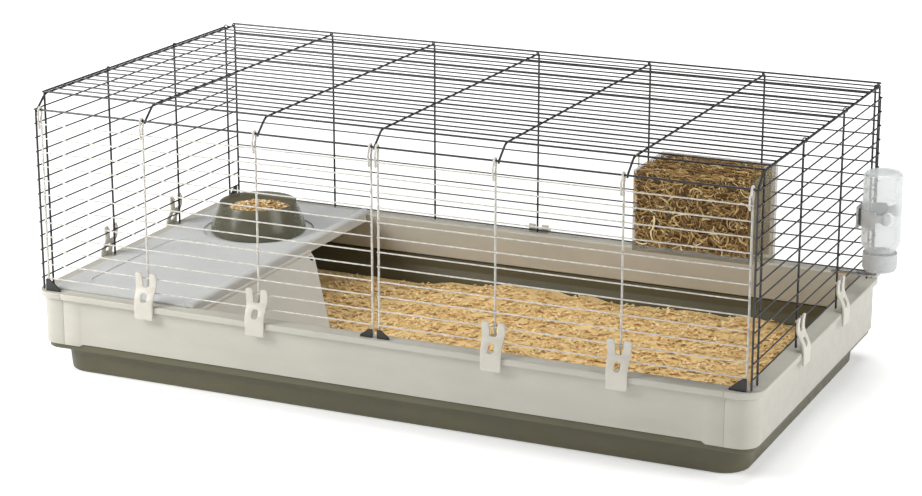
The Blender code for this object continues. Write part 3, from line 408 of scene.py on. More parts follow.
def coated_wire(name, colour, roughness, specular):
    """Powder-coated wire: orange-peel bump with slightly thin spots in the colour."""
    finish, tree, shader = new_finish(name)
    shader.inputs["Specular IOR Level"].default_value = specular
    spots = noise_field(tree, 130)
    colour_by(tree, shader, spots, [(0.35, shade(colour, 0.8)), (0.55, colour),
                                    (0.75, shade(colour, 1.15))])
    gloss_by(tree, shader, noise_field(tree, 400, 2), roughness - 0.07, roughness + 0.09)
    bump(tree, shader, noise_field(tree, 900, 2), 0.18, 0.0004)
    return finish


def toned(name, stops, roughness, grain, stretch=(1, 1, 1)):
    """Dry plant matter: each solid's own tone picks its colour, with fibres on top."""
    finish, tree, shader = new_finish(name)
    tone = tree.nodes.new("ShaderNodeAttribute")
    tone.attribute_name = "tone"
    fibre = noise_field(tree, grain, 3, 0.6, stretch)
    mixed = tree.nodes.new("ShaderNodeMath")
    mixed.operation = "MULTIPLY_ADD"
    mixed.inputs[1].default_value = FIBRE_SHARE
    tree.links.new(fibre, mixed.inputs[0])
    tree.links.new(tone.outputs["Fac"], mixed.inputs[2])
    shift = tree.nodes.new("ShaderNodeMath")
    shift.operation = "SUBTRACT"
    shift.inputs[1].default_value = FIBRE_SHARE / 2
    tree.links.new(mixed.outputs[0], shift.inputs[0])
    colour_by(tree, shader, shift.outputs[0], stops)
    gloss_by(tree, shader, fibre, roughness - 0.08, roughness + 0.08)
    bump(tree, shader, fibre, 0.4, 0.0004)
    return finish


def steel_finish():
    finish, tree, shader = new_finish("brushed_tube")
    shader.inputs["Metallic"].default_value = 1.0
    brushed = noise_field(tree, 500, 3, 0.6, (0.15, 1, 1))
    colour_by(tree, shader, brushed, [(0.3, (0.45, 0.45, 0.46)), (0.7, (0.68, 0.68, 0.69))])
    gloss_by(tree, shader, brushed, 0.22, 0.38)
    bump(tree, shader, brushed, 0.1, 0.0002)
    return finish


def clear_plastic():
    """Clear bottle plastic: thin where it faces the eye and denser towards its outline."""
    finish = moulded("bottle_plastic", (0.720, 0.745, 0.745), 0.14, 0.02, 0.02)
    tree = finish.node_tree
    outline = tree.nodes.new("ShaderNodeLayerWeight")
    outline.inputs["Blend"].default_value = 0.45
    density = tree.nodes.new("ShaderNodeMapRange")
    density.inputs["To Min"].default_value = 0.22
    density.inputs["To Max"].default_value = 0.62
    tree.links.new(outline.outputs["Facing"], density.inputs["Value"])
    tree.links.new(density.outputs["Result"], tree.nodes["Principled BSDF"].inputs["Alpha"])
    return finish


FINISHES = {
    "skirt": moulded("skirt_plastic", (0.465, 0.447, 0.388), 0.40, 0.06),
    # painted light: the back piece takes the skirt's plastic painted lighter, which lifts its inner face
    # where it falls in shade
    "back_skirt_painted_lighter": moulded("skirt_plastic_painted_lighter", (0.535, 0.511, 0.442), 0.40, 0.06),
    "tray": moulded("tray_plastic", (0.100, 0.092, 0.050), 0.46, 0.14, 0.09),
    "shelf": moulded("shelf_plastic", (0.575, 0.582, 0.570), 0.36, 0.08, 0.03),
    "ramp": moulded("ramp_plastic", (0.560, 0.538, 0.482), 0.42, 0.08, 0.03),
    "clip": moulded("clip_plastic", (0.560, 0.535, 0.465), 0.36, 0.06),
    "corner": moulded("corner_plastic", (0.018, 0.018, 0.017), 0.45, 0.12),
    "bracket": moulded("bracket_plastic", (0.500, 0.515, 0.510), 0.30, 0.05, 0.03),
    "bowl": moulded("bowl_plastic", (0.150, 0.147, 0.104), 0.20, 0.01, 0.14, Alpha=0.76,
                    Specular_IOR_Level=0.35),
    "rack": moulded("rack_plastic", (0.200, 0.160, 0.075), 0.34, 0.03, 0.10, Alpha=0.40,
                    Specular_IOR_Level=0.10),
    "bottle": clear_plastic(),
    "black_wire": coated_wire("black_coat", (0.022, 0.022, 0.024), 0.38, 0.45),
    "white_wire": coated_wire("white_coat", (0.600, 0.580, 0.525), 0.48, 0.22),
    "steel": steel_finish(),
    "shavings": toned("wood_shavings", [
        (0.0, (0.49, 0.315, 0.122)), (0.25, (0.615, 0.415, 0.165)), (0.55, (0.725, 0.51, 0.225)),
        (1.0, (0.83, 0.675, 0.395))], 0.80, 260, (1, 1, 0.4)),
    "hay": toned("dry_hay", [
        (0.0, (0.060, 0.028, 0.008)), (0.3, (0.200, 0.108, 0.030)), (0.55, (0.370, 0.225, 0.070)),
        (0.8, (0.540, 0.370, 0.140)), (1.0, (0.82, 0.69, 0.40))], 0.74, 300),
    "food": toned("mixed_feed", [
        (0.0, (0.20, 0.095, 0.025)), (0.35, (0.47, 0.27, 0.09)), (0.6, (0.62, 0.45, 0.19)),
        (0.85, (0.76, 0.64, 0.38)), (1.0, (0.82, 0.76, 0.58))], 0.66, 420),
}


# ---------------------------------------- base
def skirt_section(share):
    """Section of the skirt as (inset, height); share is 1 in the corner bands and 0 elsewhere."""
    setback = SKIRT_SETBACK - BAND_PROUD * share
    bottom = SKIRT_BOTTOM - BAND_DROP * share
    flange, ceiling, inner_bottom = RIM_Z - RIM_HEIGHT, RIM_Z - SKIRT_WALL, RIM_Z - SKIRT_INNER_DROP
    outer_wall, inner_wall = SKIRT_SETBACK + SKIRT_WALL, RIM_WIDTH - SKIRT_WALL
    points = [(outer_wall, bottom, 0), (setback, bottom, 0), (setback, flange, 0), (0, flange, 0),
              (0, RIM_Z, 0), (RIM_WIDTH, RIM_Z, 0), (RIM_WIDTH, inner_bottom, 0),
              (inner_wall, inner_bottom, 0), (inner_wall, ceiling, 0), (outer_wall, ceiling, 0)]
    reach = [0.0006, 0.0008, 0.0016, 0.0010, 0.0020, 0.0022] + [0.0008] * 4
    return [(p.x, p.y) for p in softened_loop(points, reach)]


def skirt_ring(x, side, section, ease=0.0):
    """The section across a long side at x, drawn in by ease; side is -1 at the front."""
    return [Vector((x, side * (HALF_DEPTH - inset - ease), height)) for inset, height in section]


def skirt_side(sign):
    """Front or back piece between the wrap-round ends, thicker near both seams."""
    reach = SKIRT_HIGH.x
    band = reach - CORNER_BAND
    steps = [BAND_STATION * n for n in (-1, 0, 1)]
    places = [-reach, -reach + EASE_LENGTH] + [step - band for step in steps]
    places += [(band - 0.02) * (n / 6 - 1) for n in range(13)]
    places += [band + step for step in steps] + [reach - EASE_LENGTH, reach]
    solid = Solids()
    solid.loft([skirt_ring(x, sign,
                           skirt_section(smoothstep(band - BAND_BLEND, band + BAND_BLEND, abs(x))),
                           EASE_DEPTH if abs(x) == reach else 0.0) for x in places])
    return solid.mesh()


def skirt_end(sign):
    """End piece that wraps round both corners, from seam to seam."""
    section = skirt_section(1.0)
    seam, eased = sign * END_LOW.x, sign * (END_LOW.x + EASE_LENGTH)
    rings = [skirt_ring(seam, -1, section, EASE_DEPTH), skirt_ring(eased, -1, section)]
    for start, side in ((-pi / 2, -1), (0, 1)):
        for step in range(13):
            angle = start + pi / 2 * step / 12
            rings.append([Vector((
                sign * (HALF_LENGTH - RIM_RADIUS + (RIM_RADIUS - inset) * cos(angle)),
                side * (HALF_DEPTH - RIM_RADIUS) + (RIM_RADIUS - inset) * sin(angle), height))
                for inset, height in section])
    rings += [skirt_ring(eased, 1, section), skirt_ring(seam, 1, section, EASE_DEPTH)]
    solid = Solids()
    solid.loft(rings)
    return solid.mesh()


def rounded_rectangle(half_x, half_y, radius, height, steps=10):
    points = []
    for corner, (sx, sy) in enumerate(((1, 1), (-1, 1), (-1, -1), (1, -1))):
        for step in range(steps + 1):
            angle = pi / 2 * (corner + step / steps)
            points.append(Vector((sx * (half_x - radius) + radius * cos(angle),
                                  sy * (half_y - radius) + radius * sin(angle), height)))
    return points


def tray():
    """Tray with softened edges; each level is (inset, height, plan radius)."""
    wall_top = LIP_TOP - LIP_HEIGHT
    lip_radius = RIM_RADIUS - LIP_SETBACK
    upstand_radius = RIM_RADIUS - UPSTAND_SETBACK
    inner_radius = upstand_radius - TRAY_WALL
    levels = [
        (PLINTH_SETBACK + TRAY_DRAFT + 0.02, 0.0, PLINTH_RADIUS - TRAY_DRAFT - 0.02),
        (PLINTH_SETBACK + TRAY_DRAFT, 0.0, PLINTH_RADIUS - TRAY_DRAFT),
        (PLINTH_SETBACK, wall_top, PLINTH_RADIUS),
        (LIP_SETBACK, wall_top, lip_radius),
        (LIP_SETBACK, LIP_TOP, lip_radius),
        (UPSTAND_SETBACK, LIP_TOP, upstand_radius),
        (UPSTAND_SETBACK, TRAY_HIGH.z, upstand_radius),
        (UPSTAND_SETBACK + TRAY_WALL, TRAY_HIGH.z, inner_radius),
        (UPSTAND_SETBACK + TRAY_WALL, LIP_TOP, inner_radius),
        (PLINTH_SETBACK + TRAY_WALL, wall_top - TRAY_WALL, PLINTH_RADIUS - TRAY_WALL),
        (PLINTH_SETBACK + TRAY_DRAFT + TRAY_WALL, TRAY_FLOOR, PLINTH_RADIUS - TRAY_DRAFT),
        (PLINTH_SETBACK + 0.05, TRAY_FLOOR, PLINTH_RADIUS - 0.02),
    ]
    reach = [0, 0.004, 0.0015, 0.0015, 0.0015, 0.001, 0.0008, 0.0008, 0.003, 0.002, 0.004, 0]
    solid = Solids()
    solid.loft([rounded_rectangle(HALF_LENGTH - inset, HALF_DEPTH - inset, radius, height)
                for inset, height, radius in softened(levels, reach, 3)])
    return solid.mesh()


def rough(x, y, scale, layer):
    """Smooth noise over the floor plan, from about -1 to 1; each layer is a pattern of its own."""
    return noise.noise(Vector((x * scale, y * scale, layer)))


def bed_height(x, y):
    """Top of the shavings: low by the shelf, higher beyond it, with heaps and hollows."""
    rise = smoothstep(SHELF_EDGE + RISE_START, SHELF_EDGE + RISE_END, x)
    wave = sin(17 * x + 1.3) * cos(21 * y) + 0.5 * sin(41 * x) * sin(37 * y + 0.7)
    lump = rough(x, y, 26, 1.7) * 0.0085 * (0.2 + 0.8 * rise)
    return BED_LOW.z + BED_SHALLOW + rise * (BED_DEEP - BED_SHALLOW + 0.0045 * wave) + lump


def bed():
    """Closed bed of shavings under the loose curls."""
    nx, ny = 96, 50
    half_x, half_y = BED_HIGH.x - BED_GAP, BED_HIGH.y - BED_GAP
    radius = PLINTH_RADIUS - TRAY_DRAFT

    def spot(i, j):
        x, y = half_x * (2 * i / nx - 1), half_y * (2 * j / ny - 1)
        dx, dy = abs(x) - (half_x - radius), abs(y) - (half_y - radius)
        reach = (dx * dx + dy * dy) ** 0.5
        if dx > 0 and dy > 0 and reach > radius:
            x = (half_x - radius + dx * radius / reach) * (1 if x > 0 else -1)
            y = (half_y - radius + dy * radius / reach) * (1 if y > 0 else -1)
        return x, y

    keys = [(i, j) for i in range(nx + 1) for j in range(ny + 1)]
    index = {key: n for n, key in enumerate(keys)}
    tops, lows = [], []
    for key in keys:
        x, y = spot(*key)
        tops.append((x, y, bed_height(x, y) - 0.002 + rough(x, y, 110, 4.1) * 0.0012))
        lows.append((x, y, BED_LOW.z))
    n = len(keys)
    faces = []
    for i in range(nx):
        for j in range(ny):
            a, b, c, d = index[i, j], index[i + 1, j], index[i + 1, j + 1], index[i, j + 1]
            faces += [(a, b, c, d), (n + d, n + c, n + b, n + a)]
    border = ([(i, 0) for i in range(nx)] + [(nx, j) for j in range(ny)]
              + [(i, ny) for i in range(nx, 0, -1)] + [(0, j) for j in range(ny, 0, -1)])
    for k, key in enumerate(border):
        a, b = index[key], index[border[(k + 1) % len(border)]]
        faces.append((a, b, n + b, n + a))
    solid = Solids()
    solid.add(tops + lows, faces, 0.50)
    return solid.mesh(60)


def curl(solid, place, length, width, turn, tilt, bend, tone):
    """One thin curled shaving, narrower at its ends; bend is the angle it turns through."""
    thick, steps, straight = 0.00022, 5, 1e-3
    spin = Matrix.Rotation(turn, 3, "Z") @ Matrix.Rotation(tilt, 3, "Y")
    bow = max(abs(bend), straight)
    rings = []
    for step in range(steps + 1):
        t = step / steps - 0.5
        angle = bend * t
        along = sin(angle) / bow * length if abs(bend) > straight else t * length
        run = Vector((along, 0, (1 - cos(angle)) / bow * length))
        up = Vector((-sin(angle), 0, cos(angle)))
        half = width / 2 * (1 - 0.55 * abs(2 * t) ** 3)
        skew = 0.18 * width * sin(5 * t + turn)
        corners = [(-half, -thick), (half, -thick), (half, thick), (-half, thick)]
        rings.append([place + spin @ (run + Vector((0, a + skew, 0)) + up * b)
                      for a, b in corners])
    solid.loft(rings, tone)


def shavings():
    """Loose curls over the bed where it shows, fewer under the shelf and none under the ramp."""
    rng = random.Random(5)
    solid = Solids()
    ramp_foot = [v.co.y for v in frame["nodes"]["ramp"].data.vertices if v.co.z < RAMP_LOW.z + 0.006]
    for n in range(9500):
        x = rng.uniform(SHELF_EDGE - 0.02, BED_HIGH.x - BED_MARGIN)
        if n % 14 == 0:
            x = rng.uniform(BED_LOW.x + BED_MARGIN, SHELF_EDGE)
        y = rng.uniform(BED_LOW.y + BED_MARGIN, BED_HIGH.y - BED_MARGIN)
        if abs(x) > BED_HIGH.x - PLINTH_RADIUS and abs(y) > BED_HIGH.y - PLINTH_RADIUS:
            continue
        along = (x - SHELF_EDGE) / (RAMP_HIGH.x - SHELF_EDGE)
        ramp_back = RAMP_HIGH.y + (max(ramp_foot) - RAMP_HIGH.y) * max(along, 0)
        under_ramp = -0.3 < along < 1.0 and y < ramp_back + 0.002
        height = bed_height(x, y) + rng.uniform(-0.0016, 0.0026)
        length, width = rng.uniform(0.004, 0.011), rng.uniform(0.0030, 0.0062)
        tone = clamp(rng.gauss(0.58, 0.14) + rough(x, y, 34, 7.3) * 0.34, 0.05, 1.0)
        turn, tilt, bend = rng.uniform(0, 2 * pi), rng.gauss(0, 0.26), rng.uniform(-1.4, 2.2)
        if not under_ramp:
            curl(solid, Vector((x, y, height)), length, width, turn, tilt, bend, tone)
    return solid.mesh(50)


def build_base():
    skirt = FINISHES["skirt"]
    for name, mesh, finish, node in (
            ("skirt_front_panel", skirt_side(-1), skirt, "skirt_front"),
            # the back piece wears the skirt plastic painted lighter, as painted light on its shaded
            # inner face
            ("skirt_back_panel", skirt_side(1), FINISHES["back_skirt_painted_lighter"], "skirt_back"),
            ("skirt_left_wrap", skirt_end(-1), skirt, "skirt_left_end"),
            ("skirt_right_wrap", skirt_end(1), skirt, "skirt_right_end")):
        add_piece(name, mesh, finish, "base", [node])
    add_piece("deep_tray", tray(), FINISHES["tray"], "base", ["base_tray"])
    add_piece("shavings_bed", bed(), FINISHES["shavings"], "base", ["bedding"])
    add_piece("shavings_curls", shavings(), FINISHES["shavings"], "base")


# ---------------------------------------- wire top
def bay_posts():
    inner = [-WALL_X + bay * BAY + (0 if bay * 2 == BAYS else PAIR_OFFSET)
             for bay in range(1, BAYS)]
    return [-WALL_X + EDGE_POST] + inner + [WALL_X - EDGE_POST]


def wire_eye(solid, centre, size, along):
    """Small closed eye of wire around a wire that runs along X or Y; size is (radius, wire)."""
    radius, wire = size
    side, up = Vector((along.y, along.x, 0)), Vector((0, 0, 1))
    rings = []
    for c, s in circle(12):
        out = side * c + up * s
        rings.append([centre + out * radius + wire * (out * a + along * b) for a, b in circle(6)])
    solid.ring(rings)


def roof_wires():
    solid = Solids()
    posts = bay_posts()
    run = 2 * WALL_Y - CHAMFER
    ends = (posts[0] - POST_R, posts[-1] + POST_R)
    lines = [(-WALL_Y, HINGE_Z)]
    lines += [(-WALL_Y + CHAMFER + run * n / ROOF_SPACES, ROOF_Z + ROW_OUT)
              for n in range(ROOF_SPACES + 1)]
    for n, (y, z) in enumerate(lines):
        radius = EDGE_R if n in (0, 1, ROOF_SPACES + 1) else ROW_R
        solid.tube([(ends[0], y, z), (0, y, z), (ends[1], y, z)], radius)
    low, deep = ROOF_Z - POST_IN, 0.0018
    for x in posts:
        path = [(x, -WALL_Y + deep, HINGE_Z - 0.0045), (x, -WALL_Y + deep, HINGE_Z - 0.0010),
                (x, -WALL_Y + CHAMFER + deep * 0.4, low), (x, WALL_Y - 0.0035, low),
                (x, WALL_Y - 0.0030, low - 0.006)]
        solid.tube(softened(path, [0, 0.0015, 0.007, 0.003, 0], 5), POST_R)
        wire_eye(solid, Vector((x - 2 * POST_R, WALL_Y, low - 0.0005)), BACK_EYE, Vector((1, 0, 0)))
    for side in (-1, 1):
        for y in (-WALL_Y / 3, WALL_Y / 3, WALL_Y - REAR_POST_INSET):
            wire_eye(solid, Vector((side * (WALL_X - EDGE_POST / 2), y + 2 * POST_R, ROOF_Z)),
                     END_EYE, Vector((0, 1, 0)))
    return solid.mesh()


def back_wires():
    solid = Solids()
    posts = bay_posts()
    left, right = posts[0] - POST_R, posts[-1] + POST_R
    y_row, y_post = WALL_Y - ROW_OUT, WALL_Y - POST_IN - ROW_OUT
    for row in range(ROWS + 1):
        z = BACK_ROW + row * PITCH
        solid.tube([(left, y_row, z), (right, y_row, z)], ROW_R)
    for x in posts:
        solid.tube([(x, y_post, POST_FOOT), (x, y_post, BACK_TOP - WIRE_CUT)], POST_R)
    return solid.mesh()


def end_wires(side):
    """End wall: its outermost posts stop below the roof, and the others reach it."""
    solid = Solids()
    rows, posts = side * (WALL_X + ROW_OUT), side * (WALL_X - POST_IN)
    tall = [-WALL_Y + CHAMFER, -WALL_Y / 3, WALL_Y / 3, WALL_Y - REAR_POST_INSET]
    for y in tall:
        solid.tube([(posts, y, POST_FOOT), (posts, y, ROOF_Z + 0.0005)], POST_R)
    for y in (-WALL_Y, WALL_Y):
        solid.tube([(posts, y, POST_FOOT), (posts, y, HINGE_Z + 0.0015)], POST_R)
    for row in range(ROWS):
        z = FIRST_ROW + row * PITCH
        solid.tube([(rows, -WALL_Y - ROW_OVERHANG, z), (rows, WALL_Y + ROW_OVERHANG, z)], ROW_R)
    solid.tube([(rows, tall[0] - ROW_OVERHANG, ROOF_Z), (rows, tall[-1] + ROW_OVERHANG, ROOF_Z)],
               EDGE_R)
    return solid.mesh()


def door_wires(side):
    """Door grille with posts that fold over the hinge wire and back down as hairpins."""
    solid = Solids()
    outer = side * (WALL_X - DOOR_END_GAP)
    inner = side * DOOR_MID_GAP
    between = [side * (WALL_X - bay * BAY) - PAIR_OFFSET for bay in (2, 1)]
    posts = sorted([inner, outer] + between)
    y_row, y_post = -WALL_Y - ROW_OUT, -WALL_Y + POST_IN
    for row in range(ROWS - 1):
        z = FIRST_ROW + row * PITCH
        solid.tube([(posts[0] - POST_R, y_row, z), (posts[-1] + POST_R, y_row, z)], DOOR_ROW_R)
    reach = POST_R * 2 + 0.0006
    for x in posts:
        beside = x - HAIRPIN_SHIFT
        over = [(x, -WALL_Y + reach * cos(a), HINGE_Z + reach * sin(a))
                for a in (pi * n / 8 for n in range(9))]
        down = [(x - 0.0006, -WALL_Y - reach, HINGE_Z - 0.006),
                (beside, -WALL_Y - 0.0014, HINGE_Z - 0.012),
                (beside, -WALL_Y + 0.0010, HINGE_Z - HAIRPIN)]
        path = [(x, y_post, POST_FOOT), (x, y_post, HINGE_Z - 0.014),
                (x, -WALL_Y + reach, HINGE_Z - 0.005)] + over + down
        solid.tube(path, POST_R)
    return solid.mesh()


def clip_mesh():
    """H-shaped clip at its swing axis: two rounded prongs, a notch, a finger hole and a foot."""
    tip, foot, half = CLIP_TOP, -CLIP_FOOT, CLIP_HALF
    waist, notch, hole = tip - 0.030, tip - 0.023, tip - 0.032
    side = [(0.0055, notch, 0), (0.0075, tip, 0), (half - 0.0005, tip, 0), (half, tip - 0.012, 0),
            (half - 0.0020, waist, 0), (half - 0.0030, foot, 0)]
    reach = [0.0045, 0.0030, 0.0035, 0.006, 0.008, 0.003]
    mirrored = [(-x, y, 0) for x, y, _ in reversed(side)]
    outer = softened_loop(side + mirrored, reach + reach[::-1], 4)
    hole_half, hole_length = 0.0052, 0.014
    inner = softened_loop([(-hole_half, hole, 0), (hole_half, hole, 0),
                           (hole_half, hole - hole_length, 0), (-hole_half, hole - hole_length, 0)],
                          0.0045, 4)
    cuts = [tip - 0.003 * n for n in range(1, 24)]
    mesh = plate([outer, inner], PLASTIC_SHEET, SHEET_EDGE, cuts)
    for vert in mesh.vertices:
        height = vert.co.y
        out = CLIP_FAR - (CLIP_FAR - CLIP_NEAR) * smoothstep(-0.040, -0.008, height)
        lean = 0.0012 * smoothstep(-0.002, tip, height)
        vert.co = (vert.co.x, -(out + lean) - vert.co.z, height)
    return mesh


def add_lug(solid, x):
    """Small tooth that reaches over the wire from a prong."""
    low, high, half = 0.0027, 0.0052, 0.003
    section = softened_loop([(x - half, 0, low), (x + half, 0, low), (x + half, 0, high),
                             (x - half, 0, high)], 0.0006, 2)
    solid.loft([[Vector((p.x, y, p.z)) for p in section] for y in (-0.0040, 0.0004)])


def build_clips():
    shape = clip_mesh()
    lugs = Solids()
    for sign in (-1, 1):
        add_lug(lugs, sign * 0.012)
    work = bmesh.new()
    work.from_mesh(shape)
    work.from_mesh(lugs.mesh())
    joined = shaded(work, bpy.data.meshes.new("clip"), 40)
    turns = {"front": 0.0, "left": -pi / 2, "right": pi / 2}
    for joint in frame["joints"]:
        name = joint["child"]
        kind = name.split("_")[1] if name.startswith("clip_") else ""
        if kind not in turns:
            continue
        mesh = joined.copy()
        mesh.transform(Matrix.Translation(joint["pos_m"]) @ Matrix.Rotation(turns[kind], 4, "Z"))
        add_piece(name.replace("clip", "latch"), mesh, FINISHES["clip"], name,
                  [name])


def build_wire_top():
    for name, mesh, node in (("roof_wires", roof_wires(), "roof_panel"),
                             ("back_wires", back_wires(), "back_panel"),
                             ("left_end_wires", end_wires(-1), "left_end_panel"),
                             ("right_end_wires", end_wires(1), "right_end_panel")):
        add_piece(name, mesh, FINISHES["black_wire"], "wire_top", [node])
    for side, door in ((-1, "left_door"), (1, "right_door")):
        add_piece(door + "_wires", door_wires(side), FINISHES["white_wire"], door,
                  [door])
    build_clips()


# ---------------------------------------- feeders
def food_top(share):
    """Height of the feed's heap, where share runs from 0 at its middle to 1 at its edge."""
    return BOWL_HIGH.z - FEED_CROWN_DROP - FEED_FALL * share ** 2


def pellets():
    """Mixed feed: seeds and flakes piled in the bowl."""
    rng = random.Random(8)
    solid = Solids()
    centre = (FOOD_LOW + FOOD_HIGH) / 2
    for _ in range(560):
        angle, share = rng.uniform(0, 2 * pi), rng.uniform(0, 1) ** 0.5
        radius = (FEED_RADIUS - 0.004) * share
        place = Vector((centre.x + radius * cos(angle), centre.y + radius * sin(angle),
                        food_top(share) + rng.uniform(-0.003, 0.0015)))
        size = Vector((rng.uniform(0.0022, 0.0048), rng.uniform(0.0016, 0.0032),
                       rng.uniform(0.0008, 0.0020)))
        spin = (Matrix.Rotation(rng.uniform(0, 2 * pi), 3, "Z")
                @ Matrix.Rotation(rng.gauss(0, 0.5), 3, "X"))
        rings = []
        for level in (-0.9, -0.5, 0.0, 0.5, 0.9):
            around = (1 - level ** 2) ** 0.5
            rings.append([place + spin @ Vector((size.x * around * c, size.y * around * s,
                                                 size.z * level)) for c, s in circle(7)])
        solid.loft(rings, rng.random())
    return solid.mesh(60)


def food_heap():
    """Solid heap under the loose feed."""
    centre = (FOOD_LOW + FOOD_HIGH) / 2
    profile = [(0, FOOD_LOW.z), (FEED_RADIUS - 0.005, FOOD_LOW.z),
               (FEED_RADIUS, food_top(1) - 2 * FEED_COVER)]
    profile += [(FEED_RADIUS * share, food_top(share) - FEED_COVER) for share in (0.9, 0.6, 0.3, 0)]
    mesh = turned(profile, 48, (centre.x, centre.y, 0))
    return store_tones(mesh, [0.3] * len(mesh.vertices))


def bowl():
    """Feeding bowl with a rolled rim and a wide foot."""
    base, height = (BOWL_HIGH.x - BOWL_LOW.x) / 2, BOWL_HIGH.z - BOWL_LOW.z
    rim, wall, floor = BOWL_RIM, BOWL_WALL, BOWL_FLOOR
    path = [(0, 0, 0), (base - 0.010, 0, 0), (base - 0.001, 0.0005, 0), (base - 0.001, 0.010, 0),
            (base - 0.004, 0.020, 0), (rim + 0.003, height - 0.008, 0), (rim, height, 0),
            (rim - wall, height, 0), (rim - wall - 0.002, height / 2, 0),
            (rim - wall - 0.007, floor, 0), (0, floor, 0)]
    reach = [0, 0.002, 0.003, 0.004, 0.010, 0.006, 0.0012, 0.0012, 0.01, 0.006, 0]
    profile = [(max(p.x, 0.0), p.y) for p in softened(path, reach, 4)]
    centre = (BOWL_LOW + BOWL_HIGH) / 2
    return turned(profile, 72, (centre.x, centre.y, BOWL_LOW.z))


def hay_floor(y):
    """Lowest the hay lies: the rack's floor rises towards the front, and the hay with it."""
    return HAY_LOW.z + HAY_LIFT + max(HAY_HIGH.y - y, 0) * HAY_FLOOR_SLOPE


def hay_strands():
    """Loose stalks round the hay block: two in three near its front, the others on its top."""
    rng = random.Random(21)
    solid = Solids()
    low, high = HAY_LOW, HAY_HIGH
    for n in range(4200):
        on_top = n % 3 == 0
        x = rng.uniform(low.x + HAY_INSET, high.x - HAY_INSET)
        y = rng.uniform(low.y, high.y - HAY_INSET) if on_top else low.y + abs(rng.gauss(0, 0.014))
        y = clamp(y, low.y + 0.001, high.y - HAY_INSET)
        z = rng.uniform(hay_floor(y), high.z - 0.002)
        if on_top:
            z = high.z - abs(rng.gauss(0, 0.005)) - 0.001
        yaw, pitch = rng.gauss(0, 0.9), rng.gauss(0, 0.65)
        length, bend = rng.uniform(0.010, 0.036), rng.gauss(0, 1.3)
        run = Vector((cos(yaw) * cos(pitch), sin(yaw) * cos(pitch) * 0.35, sin(pitch)))
        side = Vector((-run.z, 0.25 * rng.choice((-1, 1)), run.x))
        path = []
        for step in range(5):
            t = step / 4 - 0.5
            p = Vector((x, y, z)) + run * length * t + side * bend * length * (t * t - 0.12)
            p.x = clamp(p.x, low.x + 0.001, high.x - 0.001)
            p.y = clamp(p.y, low.y - 0.001, high.y - 0.002)
            p.z = clamp(p.z, hay_floor(p.y) - 0.003, high.z + 0.001)
            path.append(p)
        if min((path[1] - path[0]).length, (path[-1] - path[-2]).length) < 1e-4:
            continue
        clump = noise.noise(Vector((x, y, z)) * 45) * 0.30
        tone = clamp(rng.gauss(0.50, 0.24) + clump, 0.02, 1.0)
        solid.tube(path, rng.uniform(0.0005, 0.0013), 4, tone, 0.4)
    return solid.mesh(60)


def hay_core():
    """Lumpy block inside the stalks."""
    solid = Solids()
    nx, ny = 14, 9
    width, depth = HAY_HIGH.x - HAY_LOW.x - 2 * HAY_INSET, HAY_HIGH.y - HAY_LOW.y - 2 * HAY_INSET
    ys = [HAY_LOW.y + HAY_INSET + depth * j / ny for j in range(ny + 1)]
    outline = [(y, hay_floor(y)) for y in ys]
    outline += [(y, HAY_HIGH.z - HAY_INSET) for y in reversed(ys)]
    rings = []
    for i in range(nx + 1):
        section = [Vector((HAY_LOW.x + HAY_INSET + width * i / nx, y, z)) for y, z in outline]
        lumps = [noise.noise(point * 60) * 0.0025 for point in section]
        rings.append([point + Vector((0, lump, lump)) for point, lump in zip(section, lumps)])
    solid.loft(rings, 0.22)
    return solid.mesh(60)


def build_feeders():
    add_piece("feed_bowl", bowl(), FINISHES["bowl"], "bowl", ["bowl"])
    add_piece("feed_heap", food_heap(), FINISHES["food"], "bowl", ["food"])
    add_piece("feed_pellets", pellets(), FINISHES["food"], "bowl")
    add_piece("hay_block", hay_core(), FINISHES["hay"], "wire_top", ["hay"])
    add_piece("hay_stalks", hay_strands(), FINISHES["hay"], "wire_top")
    round_edges("hay_rack", 0.0009)


# ---------------------------------------- water bottle
def bottle_shell():
    """Clear bottle, neck down, with two shallow grooves round it."""
    centre = (BOTTLE_LOW + BOTTLE_HIGH) / 2
    radius, length, wall, neck = (BOTTLE_RADIUS, BOTTLE_HIGH.z - BOTTLE_LOW.z, BOTTLE_WALL,
                                  NECK_RADIUS)
    outer = [(0, length - 0.001, 0), (radius - 0.006, length, 0), (radius, length - 0.004, 0)]
    for groove in (0.093, 0.049):
        outer += [(radius, groove + 0.003, 0), (radius - 0.0010, groove, 0),
                  (radius, groove - 0.003, 0)]
    outer += [(radius, 0.014, 0), (neck, 0.0, 0)]
    inner = [(neck - wall, 0.0, 0), (radius - wall, 0.014, 0), (radius - wall, length - 0.006, 0),
             (radius - 0.008, length - wall, 0), (0, length - wall - 0.001, 0)]
    profile = softened(outer, [0, 0.004, 0.005] + [0.002] * 6 + [0.008, 0], 4)
    profile += softened(inner, [0, 0.008, 0.004, 0.004, 0], 4)
    return turned([(max(p.x, 0), p.y) for p in profile], 56, (centre.x, centre.y, BOTTLE_LOW.z))


def holder_arms():
    """Springy arms that carry the half ring on round the bottle, each ending in a rounded grip."""
    centre = (BOTTLE_LOW + BOTTLE_HIGH) / 2
    middle = (BRACKET_LOW.z + BRACKET_HIGH.z) / 2 + 0.004
    near = (BOTTLE_HIGH.y - BOTTLE_LOW.y) / 2 + 0.0006
    steps, solid = 14, Solids()
    for sign in (-1, 1):
        rings = []
        for step in range(steps + 1):
            t = step / steps
            angle = sign * radians(96 - 44 * t)
            grip = smoothstep(0.40, 0.62, t)
            round_end = max(1 - max((t - 0.78) / 0.24, 0) ** 2, 0.12) ** 0.5
            half, far = (0.0060 + 0.0038 * grip) * round_end, near + 0.0023 + 0.0022 * grip
            outline = softened_loop([(near, -half, 0), (far, -half, 0), (far, half, 0),
                                     (near, half, 0)], 0.0010, 2)
            rings.append([Vector((centre.x + p.x * cos(angle), centre.y + p.x * sin(angle),
                                  middle + p.y)) for p in outline])
        solid.loft(rings)
    return solid.mesh()


